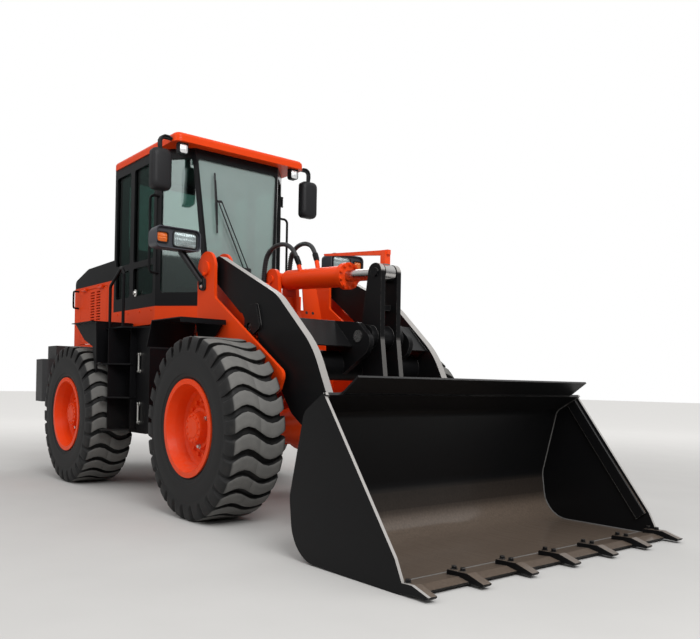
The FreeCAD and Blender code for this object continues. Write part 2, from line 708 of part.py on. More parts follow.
def hood_body():
    """Painted hood around the engine, open at both sides for its doors, with the rear grille."""
    shell = plate_x([(-hood_half, hood_low, 0), (-hood_half, hood_line, 0), (hood_half, hood_line, 0),
                     (hood_half, hood_low, 0)], hood_rear, hood_front)
    shell = shell.cut(box(hood_rear + 30, hood_front + 1, -hood_half + 30, hood_half - 30,
                          hood_low - 1, hood_line - 25))
    for s in (-1, 1):
        shell = shell.cut(box(engine_door_rear - run_gap, engine_door_front + run_gap, s * (hood_half - 40),
                              s * (hood_half + 1), engine_door_low - run_gap, engine_door_high + run_gap))
    grille = box(hood_rear - 1, hood_rear + 31, -400, 400, 1330, 2020)
    shell = shell.cut(grille)
    shell = shell.fuse([hood_hinge(x, s)[0] for x in hood_hinge_x for s in (-1, 1)])
    bars = [box(hood_rear + 4, hood_rear + 24, -401, 401, z, z + 22) for z in range(1350, 2010, 66)]
    stiles = [box(hood_rear + 4, hood_rear + 24, y, y + 24, 1329, 2021) for y in (-140, 116)]
    return fuse([shell] + bars + stiles)


engine_door_rear = hood_rear + 200
engine_door_front = -2300.0
engine_door_low = 1430.0
engine_door_high = 2050.0


door_length = engine_door_front - engine_door_rear
hood_hinge_x = (engine_door_rear + 0.19 * door_length, engine_door_front - 0.19 * door_length)
hood_hinge_out = 18.0
hood_hinge_z = engine_door_high + 2


def hood_hinge(x, s):
    """Fixed pin with its two end blocks, and the door's knuckle, of one hood hinge."""
    y = s * (hood_half + hood_hinge_out)
    fixed = [rod((x - 62, y, hood_hinge_z), (x + 62, y, hood_hinge_z), 7)]
    for x0 in (x - 64, x + 50):
        fixed.append(box(x0, x0 + 14, s * (hood_half - 1), s * (hood_half + hood_hinge_out + 9),
                         hood_hinge_z + 5, hood_hinge_z + 22))
        fixed.append(rod((x0, y, hood_hinge_z), (x0 + 14, y, hood_hinge_z), 12))
    knuckle = fuse([rod((x - 46, y, hood_hinge_z), (x + 46, y, hood_hinge_z), 13),
                    box(x - 46, x + 46, s * (hood_half - 1), y, hood_hinge_z - 13, hood_hinge_z - 3)])
    knuckle = knuckle.cut(rod((x - 47, y, hood_hinge_z), (x + 47, y, hood_hinge_z), 7 + pin_gap))
    return fuse(fixed), knuckle


def engine_door():
    door = box(engine_door_rear, engine_door_front, -hood_half, -hood_half + 30,
               engine_door_low, engine_door_high)
    door = fuse([door] + [hood_hinge(x, -1)[1] for x in hood_hinge_x])
    for share in (0.39, 0.61):
        column = engine_door_rear + share * door_length
        for i in range(12):
            z = 1660 + i * 31
            door = door.cut(box(column, column + 0.15 * door_length, -hood_half - 1, -hood_half + 31,
                                z, z + 14))
    return door


def hood_cap():
    """Black cap of the hood, falling away in a curve at the rear."""
    cap = plate_y([(hood_front, hood_line, 0), (hood_front, hood_top + 20, 0),
                   (hood_rear + 400, hood_top, 300), (hood_rear - 10, hood_top - 110, 60),
                   (hood_rear - 10, hood_line, 0)], -hood_half + 10, hood_half - 10)
    return cap.cut(box(hood_rear + 60, hood_front + 1, -hood_half + 60, hood_half - 60,
                       hood_line - 1, hood_top - 120))


cab_plan = [                        # x, y, corner radius
    (cab_front, -nose_half, 0), (cab_front, nose_half, 0), (cab_corner, cab_half, 0),
    (cab_rear, cab_half, 0), (cab_rear, -cab_half, 0), (cab_corner, -cab_half, 0)]


def cab_body(inset, z0, z1):
    """Block with the cab's outside shape, drawn in by inset, its nose leaning back to the roof."""
    face = outline(cab_plan, lambda x, y: V(x, y, z0))
    if inset:
        face = face.makeOffset2D(-inset, join=2)
    body = face.extrude(V(0, 0, z1 - z0))
    lean = (nose_top - cab_front) / (glass_high + 30 - sill_z - 45)
    ahead = 200
    x0 = cab_front - inset + lean * (z0 - sill_z - 45)
    x1 = cab_front - inset + lean * (z1 - sill_z - 45)
    front = plate_y([(x0, z0 - 1, 0), (x0 + ahead, z0 - 1, 0), (x1 + ahead + 300, z1 + 1, 0), (x1, z1 + 1, 0)],
                    -cab_half, cab_half)
    return body.cut(front)


def window_cutters():
    """Prisms through the fixed windows' openings."""
    width = math.hypot(nose_top - cab_corner, cab_half - roof_half)
    dx = (nose_top - cab_corner) / width
    dy = (cab_half - roof_half) / width
    cutters = [plate_x([(-nose_half + 24, glass_low, 30), (-roof_half + 22, glass_high, 30),
                        (roof_half - 22, glass_high, 30), (nose_half - 24, glass_low, 30)], -560, -200)]
    corner = [(48, glass_low, 30), (width * 1.36 - 30, glass_low, 30), (width - 30, glass_high, 30),
              (48, glass_high, 30)]
    for s in (-1, 1):
        face = outline(corner, lambda u, z: V(cab_corner + dx * u, s * (cab_half - dy * u), z))
        out = V(dy * 80, s * dx * 80, 0)
        face.translate(out)
        cutters.append(face.extrude(out * -2))
    side_windows = [                # rear x, front x, low z, high z, sides that have it
        (-1640, -1300, 2160, glass_high, (-1, 1)), (-1640, -1300, glass_low, 2100, (-1, 1)),
        (-1215, -770, 2160, glass_high, (-1,)), (-1215, -770, glass_low, 2100, (-1,))]
    for x0, x1, z0, z1, sides in side_windows:
        for s in sides:
            cutters.append(plate_y([(x0, z0, 30), (x1, z0, 30), (x1, z1, 30), (x0, z1, 30)],
                                   s * (cab_half - 70), s * (cab_half + 10)))
    cutters.append(plate_x([(-560, 2370, 40), (560, 2370, 40), (560, glass_high, 40),
                            (-560, glass_high, 40)], cab_rear - 10, cab_rear + 70))
    return cutters


def door_opening(gap):
    return plate_y([(door_rear - gap, sill_z + 15 - gap, 40), (door_front + gap, sill_z + 15 - gap, 40),
                    (door_front + gap, glass_high + 25 + gap, 40), (door_rear - gap, glass_high + 25 + gap, 40)],
                   cab_half - wall - 20, cab_half + 10)


def cab_walls(z0, z1):
    return cab_body(0, z0, z1).cut(cab_body(wall, z0 - 5, z1 + 5))


def pane_skin():
    return cab_body(18, sill_z, cab_top).cut(cab_body(28, sill_z - 5, cab_top + 5))


door_hinge_z = (sill_z + 185, glass_high - 160)
door_axis = (-722.0, cab_half + 16)


def door_hinge(z):
    """Fixed pin with its two end blocks, and the door's strap, of one cab door hinge."""
    x, y = door_axis
    fixed = [rod((x, y, z - 52), (x, y, z + 52), 7)]
    for z0 in (z - 54, z + 38):
        fixed.append(box(x - 6, x + 8, cab_half - 8, y + 10, z0, z0 + 16))
    strap = fuse([rod((x, y, z - 34), (x, y, z + 34), 11),
                  box(x - 30, x, y - 10, y + 6, z - 34, z + 34),
                  box(x - 60, x - 26, cab_half - 1, y + 6, z - 34, z + 34)])
    return fuse(fixed), strap.cut(rod((x, y, z - 35), (x, y, z + 35), 7 + pin_gap))


def cab_frame():
    frame = cab_walls(sill_z, cab_top)
    for cutter in window_cutters():
        frame = frame.cut(cutter)
    frame = frame.cut(door_opening(run_gap))
    ceiling = cab_body(wall - 1, cab_top - 25, cab_top)
    hinges = [door_hinge(z)[0] for z in door_hinge_z]
    return fuse([frame, ceiling, cab_walls(sill_z - 40, sill_z + 1)] + hinges)


def cab_glass():
    skin = pane_skin()
    panes = []
    for cutter in window_cutters():
        panes += skin.common(cutter).Solids
    return Part.makeCompound(panes)


def cab_skirt():
    """Painted lower panels of the cab, round the floor."""
    walls = cab_walls(floor_z + 20, sill_z - 40)
    floor = cab_body(0, floor_z - 20, floor_z + 20)
    return fuse([walls, floor])


def cab_roof():
    roof = box(cab_rear - 30, -321, -cab_half - 12, cab_half + 12, cab_top, roof_top)
    upright = [e for e in roof.Edges if abs(e.tangentAt(0).z) > 0.9]
    roof = roof.makeFillet(70, upright)
    rim_edges = [e for e in roof.Edges if e.BoundBox.ZMin > roof_top - 1]
    return roof.makeFillet(40, rim_edges)


def door_left():
    door = door_opening(0).common(cab_body(0, sill_z, cab_top))
    door = door.cut(cab_body(wall, sill_z - 5, cab_top + 5))
    for cutter in door_cutters():
        door = door.cut(cutter)
    return fuse([door] + [door_hinge(z)[1] for z in door_hinge_z])


def door_cutters():
    return [plate_y([(door_rear + 45, z0, 30), (door_front - 45, z0, 30), (door_front - 45, z1, 30),
                     (door_rear + 45, z1, 30)], cab_half - 70, cab_half + 10)
            for z0, z1 in ((2160, glass_high - 20), (glass_low + 10, 2100))]


def door_glass():
    skin = pane_skin()
    panes = []
    for cutter in door_cutters():
        panes += skin.common(cutter).Solids
    return Part.makeCompound(panes)


seat_x = -1270.0


def seat():
    base = box(seat_x - 200, seat_x + 200, -190, 190, floor_z + 20, 1890)
    cushion = plate_y([(seat_x - 230, 1890, 30), (seat_x + 260, 1890, 40), (seat_x + 260, 2010, 50),
                       (seat_x - 230, 1980, 20)], -250, 250)
    back = plate_y([(seat_x - 270, 1960, 30), (seat_x - 150, 1960, 30), (seat_x - 230, 2640, 55),
                    (seat_x - 350, 2640, 55)], -240, 240)
    return fuse([base, cushion, back])


def console():
    """Dash, steering column with its wheel, and the lever box beside the seat."""
    dash = plate_y([(-640, floor_z + 20, 0), (-480, floor_z + 20, 0), (-440, 2100, 40),
                    (-640, 2160, 40)], -230, 230)
    column = rod((-640, 0, 2050), (-800, 0, 2306), 30)
    lean = V(-150, 0, 240)
    wheel = Part.makeTorus(190, 15, V(-800, 0, 2306), lean)
    spokes = [rod((-800, -185, 2306), (-800, 185, 2306), 12)]
    box_right = box(seat_x - 200, seat_x + 250, -460, -330, floor_z + 20, 2080)
    levers = [rod((seat_x + x, -395, 2070), (seat_x + x + 60, -395, 2330), 12) for x in (60, 150)]
    knobs = [Part.makeSphere(26, V(seat_x + x + 60, -395, 2335)) for x in (60, 150)]
    front = fuse([dash, column, wheel] + spokes)
    side = fuse([box_right] + levers + knobs)
    return Part.makeCompound(front.Solids + side.Solids)


rear_fender_y = (cab_half + 10, 1100.0)


def rear_fenders():
    y0, y1 = rear_fender_y
    top = box(-1722, -1180, -y1, -y0, 1560, 1568)
    web = plate_y([(-1722, 1562, 0), (-1180, 1562, 0), (-1150, 1090, 0), (-1190, 1090, 0),
                   (-1260, 1330, 0), (-1480, 1400, 0)], -y1 + 40, -y1 + 52)
    post = box(-1196, -1184, -y1 + 45, -y0, 1180, 1562)
    inner = box(-1300, -1184, -y0 - 1, -cab_half, 1546, 1562)
    return both(fuse([top, web, post, inner]))


tank_y = (432.0, 800.0)


def side_tanks():
    """Tank on each side between the wheels, its platform on top."""
    tank = plate_y([(-1030, 530, 60), (-562, 530, 60), (-562, 1330, 30), (-1030, 1330, 30)],
                   -tank_y[1], -tank_y[0])
    platform = plate_z([(-1176, -690, 0), (-520, -690, 0), (-520, -800, 20), (-700, -830, 20),
                        (-820, -960, 20), (-1176, -960, 0)], 1494, 1506)
    skirt = box(-1000, -565, -802, -790, 1329, 1496)
    web = box(-900, -880, -780, -600, 1329, 1496)
    seat_block = box(-1000, -900, -tank_y[0] - 2, -430, 900, 1180)
    return both(fuse([tank, platform, skirt, web, seat_block]))


step_levels = (1170.0, 860.0, 560.0)


def steps_and_rails():
    """Three steps behind the tank, a handrail above the platform and a grab rail at the cab."""
    pieces = []
    for z in step_levels:
        rear = -1130 if z > 1000 else -1035
        tread = plate_z([(rear, -802, 0), (rear, -1070, 15), (rear + 70, -1070, 15), (-830, -870, 15),
                         (-830, -802, 0)], z - 12, z)
        pieces.append(tread)
    pieces.append(box(-1030, -1018, -1000, -802, 548, 1494))
    pieces.append(box(-850, -838, -860, -802, 548, 1494))
    ladder = fuse(pieces)
    rail = tube([(-1150, -940, 1506), (-1150, -940, 1900), (-880, -940, 2060), (-840, -940, 2000),
                 (-840, -940, 1506)], 14, 40)
    high = cab_top - 430
    loop = tube([(-700, -cab_half + 40, high), (-700, -cab_half - 70, high), (-700, -cab_half - 70, 2010),
                 (-700, -cab_half + 40, 2010)], 12, 40)
    loop = loop.cut(cab_body(0, sill_z, cab_top))
    return ladder, rail, loop


def mirrors():
    y_arm = cab_half + 115
    z_arm = cab_top + 22
    arm = tube([(-410, -cab_half - 12, z_arm), (-410, -y_arm, z_arm), (-410, -y_arm, cab_top - 110)], 15, 40)
    low = cab_top - 450
    high = cab_top - 90
    head = plate_x([(-y_arm - 90, low, 40), (90 - y_arm, low, 40), (90 - y_arm, high, 40),
                    (-y_arm - 90, high, 40)], -440, -380)
    return both(fuse([arm, head]))


def lamps():
    pieces = []
    y0 = cab_half - 40
    y1 = cab_half - 130
    low = cab_top - 100
    front = plate_x([(-y0, low, 25), (-y1, low, 25), (-y1, cab_top, 0), (-y0, cab_top, 0)], -420, -360)
    y0 = cab_half - 90
    y1 = cab_half - 170
    low = cab_top - 130
    high = cab_top - 40
    rear = plate_x([(-y0, low, 20), (-y1, low, 20), (-y1, high, 20), (-y0, high, 20)],
                   cab_rear - 70, cab_rear - pin_gap)
    tail = box(hood_rear - 32, hood_rear - 10, -760, -620, 1270, 1340)
    for lamp in (front, rear, tail):
        pieces += both(lamp).Solids
    return Part.makeCompound(pieces)


def main():
    os.makedirs("parts", exist_ok=True)
    wheels = [                      # name, x, side
        ("front_right", front_x, -1), ("front_left", front_x, 1),
        ("rear_right", rear_x, -1), ("rear_left", rear_x, 1)]
    for name, x, side in wheels:
        centre = (x, side * track / 2, axle_z)
        save("tyre_" + name, tyre(centre, side))
        save("rim_" + name, rim(centre, side))
    save("front_axle", front_axle())
    save("front_frame", front_frame())
    save("front_fenders", front_fenders())
    save("headlamps", headlamps())
    save("arm_plates", arm_plates())
    save("arm_cross", arm_cross())
    save("crank_pin", crank_pin_piece())
    save("bellcrank", bellcrank())
    save("tilt_link", tilt_link())
    save("link_pin", link_pin())
    save("bucket_pins", bucket_pins())
    save("bucket", bucket())
    barrel, moving = lift_cylinders()
    save("lift_barrels", both(barrel))
    save("lift_rods", both(moving))
    barrel, moving, sleeve = tilt_cylinder()
    save("tilt_barrel", barrel)
    save("tilt_rod", moving)
    save("tilt_sleeve", sleeve)
    for name, side in (("right", -1), ("left", 1)):
        barrel, moving = steering_cylinder(side)
        save("steer_barrel_" + name, barrel)
        save("steer_rod_" + name, moving)
    save("tilt_hoses", tilt_hoses())
    save("rear_frame", rear_frame())
    save("rear_axle", rear_axle())
    save("counterweight", counterweight())
    save("engine_block", engine_block())
    save("hood_body", hood_body())
    save("hood_top", hood_cap())
    save("engine_door_right", engine_door())
    save("engine_door_left", mirrored(engine_door()))
    save("cab_frame", cab_frame())
    save("cab_skirt", cab_skirt())
    save("cab_roof", cab_roof())
    save("cab_glass", cab_glass())
    save("door_left", door_left())
    save("door_left_glass", door_glass())
    save("seat", seat())
    save("console", console())
    save("rear_fenders", rear_fenders())
    save("side_tanks", side_tanks())
    ladder, rail, loop = steps_and_rails()
    save("steps_and_rails", Part.makeCompound(both(ladder).Solids + rail.Solids + both(loop).Solids))
    save("mirrors", mirrors())
    save("lamps", lamps())


main()
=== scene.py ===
# %% [markdown]
# # A wheel loader, dressed for its picture
# The machine was built before as solids: each panel, pin and casting is a node, and the nodes ride on
# bodies that are joined by hinges and slides. Here those solids get paint, rubber, cloth and glass.
# What the solids leave out is made as meshes: the tyres' tread, the padded seat, bolts, lamps' lenses
# and wipers. The model is loaded first. Nothing may grow out of it.

# %% Load the machine
import json
from math import cos, exp, pi, radians, sin, sqrt, tan, tau

import bpy
from mathutils import Matrix, Vector


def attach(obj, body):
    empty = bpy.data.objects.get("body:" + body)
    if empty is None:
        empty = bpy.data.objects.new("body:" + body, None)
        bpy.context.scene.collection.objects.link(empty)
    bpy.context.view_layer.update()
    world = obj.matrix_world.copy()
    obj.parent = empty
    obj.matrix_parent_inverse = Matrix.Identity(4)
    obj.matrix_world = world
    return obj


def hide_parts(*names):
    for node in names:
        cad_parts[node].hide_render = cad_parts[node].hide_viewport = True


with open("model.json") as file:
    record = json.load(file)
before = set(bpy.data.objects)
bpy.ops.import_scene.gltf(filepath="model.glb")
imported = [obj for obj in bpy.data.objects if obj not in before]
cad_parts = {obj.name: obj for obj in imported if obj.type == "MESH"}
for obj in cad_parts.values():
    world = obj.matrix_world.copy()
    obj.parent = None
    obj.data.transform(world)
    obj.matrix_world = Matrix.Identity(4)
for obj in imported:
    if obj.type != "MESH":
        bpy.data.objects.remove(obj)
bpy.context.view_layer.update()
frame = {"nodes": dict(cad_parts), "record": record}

nodes = frame["nodes"]

# %% [markdown]
# ## The camera
# The picture was taken from a low point before the machine's right-hand corner, with a fairly long
# lens. The camera stands at that point at knee to hip height. Its three axes are worked out from a
# heading, a pitch and a small roll. A lens shift keeps upright edges upright, because the horizon lies
# below the middle of the picture.

# %% Camera
picture_width = 700
picture_height = 639
focal_pixels = 749.51
centre_pixel = (349.108, 383.709)
camera_place = Vector((5.7782, -3.6948, 1.007))
heading, pitch, roll = 2.4527428, 0.0018081, 0.018169
ahead = Vector((cos(heading) * cos(pitch), sin(heading) * cos(pitch), sin(pitch)))
right = ahead.cross(Vector((0, 0, 1))).normalized()
above = right.cross(ahead)
rolled_right = cos(roll) * right + sin(roll) * above
rolled_above = -sin(roll) * right + cos(roll) * above
camera_data = bpy.data.cameras.new("camera")
camera_data.sensor_fit = "HORIZONTAL"
camera_data.sensor_width = 36.0
camera_data.lens = focal_pixels / picture_width * camera_data.sensor_width
camera_data.shift_x = (picture_width / 2 - centre_pixel[0]) / picture_width
camera_data.shift_y = (centre_pixel[1] - picture_height / 2) / picture_width
camera_data.clip_end = 200
camera = bpy.data.objects.new("camera", camera_data)
axes = Matrix((rolled_right, rolled_above, -ahead)).transposed()
camera.matrix_world = Matrix.Translation(camera_place) @ axes.to_4x4()
bpy.context.scene.collection.objects.link(camera)
bpy.context.scene.camera = camera
print("lens", round(camera_data.lens, 2), "mm, shift", round(camera_data.shift_y, 4))

# %% [markdown]
# ## The hoses
# Two hydraulic hoses rise from the frame's tower and bend over to the tilt cylinder, which they feed
# while it swings. A hose is one smooth curve with a round section: a spline with a few control points
# and a bevel. The order is set after the points are in, because an empty spline can't take it.

# %% Hoses
hose_diameter = 0.038
hose_routes = {
    "hose_right": [(0.252, -0.133, 1.712), (0.252, -0.133, 2.06), (0.345, -0.112, 2.185),
                   (0.505, -0.084, 2.205), (0.625, -0.058, 2.118), (0.655, -0.045, 2.003)],
    "hose_left": [(0.252, 0.133, 1.712), (0.252, 0.133, 2.075), (0.355, 0.115, 2.205),
                  (0.56, 0.085, 2.225), (0.735, 0.055, 2.15), (0.79, 0.04, 2.03)]}


def round_bar(name, points, kind, roundness, depth, point_radius=1.0):
    """A round bar through points, in straight runs (POLY) or along one smooth curve (NURBS)."""
    curve = bpy.data.curves.new(name, "CURVE")
    curve.dimensions = "3D"
    curve.bevel_depth = depth
    curve.bevel_resolution = roundness
    curve.use_fill_caps = kind == "NURBS"
    curve.resolution_u = 16
    spline = curve.splines.new(kind)
    spline.points.add(len(points) - 1)
    for point, place in zip(spline.points, points):
        point.co = (*place, 1)
        point.radius = point_radius
    if kind == "NURBS":
        spline.order_u = 3
        spline.use_endpoint_u = True
    made = bpy.data.objects.new(name, curve)
    bpy.context.scene.collection.objects.link(made)
    return made


def line_points(curve_object):
    """The points of a curve's own line, read from a copy with no thickness."""
    bare = curve_object.copy()
    bare.data = curve_object.data.copy()
    bare.data.bevel_depth = 0
    mesh = bpy.data.meshes.new_from_object(bare)
    points = [v.co.copy() for v in mesh.vertices]
    bpy.data.meshes.remove(mesh)
    bpy.data.objects.remove(bare)
    return points


def line_length(points):
    """The length of a line through points."""
    return sum((second - first).length for first, second in zip(points, points[1:]))


hoses = []
for name, route in hose_routes.items():
    hose = round_bar(name, route, "NURBS", 5, hose_diameter / 2)
    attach(hose, "tilt_cylinder_barrel")
    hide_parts("tilt_hoses")
    length = line_length(line_points(hose))
    hoses.append(hose)
    print(name, "length", round(length, 3))

# %% [markdown]
# ## The floor, the world and the lamps
# The machine stands on a plain pale floor. Soft light comes from a pale world and a few large lamps,
# strong enough that a colour renders about as it is written. The camera sees white behind the machine:
# the world asks the light's path what kind of ray looks at it.

# %% Floor and light


def add_mesh(name, vertices, faces, smooth=False):
    """A mesh object in the scene, made from corner points and faces."""
    mesh = bpy.data.meshes.new(name)
    mesh.from_pydata(vertices, [], faces)
    mesh.update()
    if smooth:
        mesh.polygons.foreach_set("use_smooth", [True] * len(mesh.polygons))
    made = bpy.data.objects.new(name, mesh)
    bpy.context.scene.collection.objects.link(made)
    return made


reach = 60
floor = add_mesh("floor", [(-reach, -reach, 0), (reach, -reach, 0), (reach, reach, 0), (-reach, reach, 0)],
                 [(0, 1, 2, 3)])

bpy.context.scene.view_settings.view_transform = "Standard"

# name, place, aims at, side, power
lamp_rows = [
    ("key", (9.0, -2.5, 8.5), (0.3, 0, 1.2), 5.0, 760),
    ("side", (0.5, -9.0, 6.0), (0.0, 0, 1.2), 5.0, 130),
    ("back", (-7.0, 5.0, 7.0), (-0.5, 0, 1.5), 5.0, 210),
]
for name, place, aim, side, power in lamp_rows:
    data = bpy.data.lights.new(name, "AREA")
    data.shape = "SQUARE"
    data.size = side
    data.energy = power
    lamp = bpy.data.objects.new(name, data)
    lamp.location = place
    lamp.rotation_euler = (Vector(aim) - Vector(place)).to_track_quat("-Z", "Y").to_euler()
    bpy.context.scene.collection.objects.link(lamp)
print("lamps:", [row[0] for row in lamp_rows])

# %% [markdown]
# ## Sums on sockets
# A finish varies over a surface by small sums: noise times a mask, one minus a fade. Written as nodes
# these get long, so a small class wraps a node's output socket, and Python's own signs add the Math
# nodes. Every other node comes from one method that takes its kind, its sockets and its settings.

# %% A finish and its flows


def sign(operation, swapped=False):
    """A method that joins two values, or changes one, with a Math node."""
    def method(self, other=0.0):
        first, second = (other, self) if swapped else (self, other)
        return self.finish.node("Math", {0: first, 1: second}, operation=operation)
    return method


class Flow:
    """A value on its way through a finish. Plus, minus and times make Math nodes."""

    def __init__(self, finish, socket):
        self.finish = finish
        self.socket = socket

    __add__ = __radd__ = sign("ADD")
    __mul__ = __rmul__ = sign("MULTIPLY")
    __sub__, __rsub__ = sign("SUBTRACT"), sign("SUBTRACT", swapped=True)
    sine, size, larger = sign("SINE"), sign("ABSOLUTE"), sign("MAXIMUM")


class Finish:
    """One material, or another owner of nodes, built from the surface's own coordinates."""

    def __init__(self, name, owner=None):
        self.material = owner or bpy.data.materials.new(name)
        self.material.use_nodes = True
        self.tree = self.material.node_tree
        self.tree.nodes.clear()
        self.place = self.node("TexCoord", output="Object")
        self.x, self.y, self.z = self.parts(self.place)
        self.faces_x, self.faces_y, self.faces_z = self.parts(self.node("TexCoord", output="Normal"))

    def node(self, kind, sockets=None, output=0, **settings):
        """Adds a node with its settings and its sockets, and returns one of its outputs."""
        made = self.tree.nodes.new("ShaderNode" + kind)
        for name, value in settings.items():
            setattr(made, name, value)
        for key, value in (sockets or {}).items():
            if isinstance(value, Flow):
                self.tree.links.new(value.socket, made.inputs[key])
            else:
                made.inputs[key].default_value = value
        return Flow(self, made.outputs[output]) if made.outputs else None

    def parts(self, vector):
        """A vector's three numbers."""
        first = self.node("SeparateXYZ", {0: vector})
        return [Flow(self, socket) for socket in first.socket.node.outputs]

    def length(self, vector):
        """How long a vector is."""
        return self.node("VectorMath", {0: vector}, 1, operation="LENGTH")

    def stretched(self, scales):
        """The surface's coordinates, squeezed or stretched along each axis."""
        return self.node("VectorMath", {0: self.place, 1: scales}, operation="MULTIPLY")

    def noise(self, scale, detail=3.0, scales=None):
        """A cloudy pattern from 0 to 1, scale in spots per metre."""
        vector = self.stretched(scales) if scales else self.place
        return self.node("TexNoise", {"Vector": vector, "Scale": scale, "Detail": detail})

    def fade(self, value, low, high):
        """0 below low and 1 above high, with a soft step between."""
        return self.node("MapRange", {"Value": value, "From Min": low, "From Max": high},
                         interpolation_type="SMOOTHSTEP")

    def fall(self, value, low, high):
        """1 below low and 0 above high."""
        return 1 - self.fade(value, low, high)

    def blend(self, share, first, second):
        """From the first colour to the second, by share."""
        return self.node("Mix", {0: share, 6: first, 7: second}, 2, data_type="RGBA")

    def bump(self, height, depth, under=None):
        """A relief of the given depth in metres, laid over another relief."""
        sockets = {"Height": height, "Distance": depth}
        if under:
            sockets["Normal"] = under
        return self.node("Bump", sockets)

    def surface(self, **sockets):
        """Ends the finish with a shader and returns the material."""
        names = {key.replace("_", " "): value for key, value in sockets.items()}
        self.show(self.node("BsdfPrincipled", names))
        return self.material

    def show(self, shader):
        self.node("OutputMaterial", {"Surface": shader})


def colour(red, green, blue):
    """A colour in linear light, with nothing see-through."""
    return (red, green, blue, 1.0)


def scaled(tone, share):
    """A colour made darker or paler by a share."""
    return colour(tone[0] * share, tone[1] * share, tone[2] * share)


print("a finish has", [name for name in vars(Finish) if not name.startswith("_")])

# %% [markdown]
# The floor is pale and rough, and far from the lamps its colour is painted paler, a painted light that
# makes up for the lamps' light falling off, so that its far edge hardly shows. The world is white where
# the camera looks at it. As a light it is bright overhead and dim near the horizon, which keeps upright
# black faces black and gives level edges their shine.

# %% Floor and world finishes
floor_finish = Finish("pale_floor")
distance = floor_finish.length(floor_finish.place)
cloudy = floor_finish.noise(2.0) * 0.04
# painted light: the colour grows paler with distance, making up for the lamps' light falling off
floor_tone = 0.47 + cloudy + floor_finish.fade(distance, 3.5, 14.0) * 0.43
floor.data.materials.append(floor_finish.surface(
    Base_Color=floor_finish.blend(floor_tone, colour(0.0, 0.0, 0.0), colour(1.0, 0.985, 0.96)),
    Roughness=0.9, Specular_IOR_Level=0.1))

world = bpy.data.worlds.new("studio")
bpy.context.scene.world = world
sky = Finish("studio", world)
camera_ray = sky.node("LightPath", output="Is Camera Ray")
through_ray = sky.node("LightPath", output="Is Transmission Ray")
seen = camera_ray.larger(through_ray)
height = sky.parts(sky.node("TexCoord", output="Generated"))[2]
horizon_light, zenith_light = 0.14, 0.95
sky_light = horizon_light + sky.fade(height, -0.05, 0.75) * (zenith_light - horizon_light)
sky_shader = sky.node("Background", {
    "Color": colour(1.0, 1.0, 1.0), "Strength": sky_light * (1 - seen) + seen})
sky.node("OutputWorld", {"Surface": sky_shader})
print("world light from", horizon_light, "to", zenith_light)

# %% [markdown]
# ## Paint
# The body's enamel is a deep red orange with a clear gloss over it. It was sprayed, so it has a very
# fine ripple. Dust has settled low down and on level tops. One function makes both enamels, the
# orange and the black, and its values say how glossy and how dusty each is.

# %% Enamels
dust_tone = colour(0.36, 0.31, 0.25)


def enamel(name, tone, shade, rough, coat, dust, gloss):
    """Sprayed enamel between two near tones, with dust low down and on tops."""
    f = Finish(name)
    clouds = f.noise(1.6, 4.0)
    specks = f.noise(38.0, 3.0)
    low = f.fall(f.z, 0.25, 1.15)
    tops = f.fade(f.faces_z, 0.75, 0.98)
    dusty = (low * 0.55 + tops * 0.35) * f.fade(clouds * 0.6 + specks * 0.4, 0.38, 0.72) * dust
    ripple = f.bump(f.noise(260.0, 1.0), 0.00025)
    return f.surface(
        Base_Color=f.blend(dusty, f.blend(clouds, tone, shade), dust_tone),
        Roughness=rough + specks * 0.08 + dusty * 0.5,
        Coat_Weight=coat - dusty * coat,
        Coat_Roughness=0.06,
        Specular_IOR_Level=gloss,
        Normal=ripple)


orange_tone = colour(0.8, 0.062, 0.006)
# name, tone and shade, then roughness, coat, dust and gloss
orange_paint = enamel("orange_enamel", orange_tone, colour(0.72, 0.05, 0.005), 0.32, 0.04, 0.22, 0.13)
rim_paint = enamel("rim_enamel", colour(0.82, 0.06, 0.006), colour(0.72, 0.046, 0.005),
                   0.34, 0.03, 0.25, 0.1)
black_paint = enamel("black_enamel", colour(0.0035, 0.0035, 0.004), colour(0.006, 0.006, 0.007),
                     0.3, 0.05, 0.05, 0.13)
lamp_black = enamel("lamp_housing", colour(0.01, 0.01, 0.011), colour(0.016, 0.016, 0.018),
                    0.45, 0.0, 0.1, 0.25)
print("enamels:", [m.name for m in (orange_paint, rim_paint, black_paint, lamp_black)])
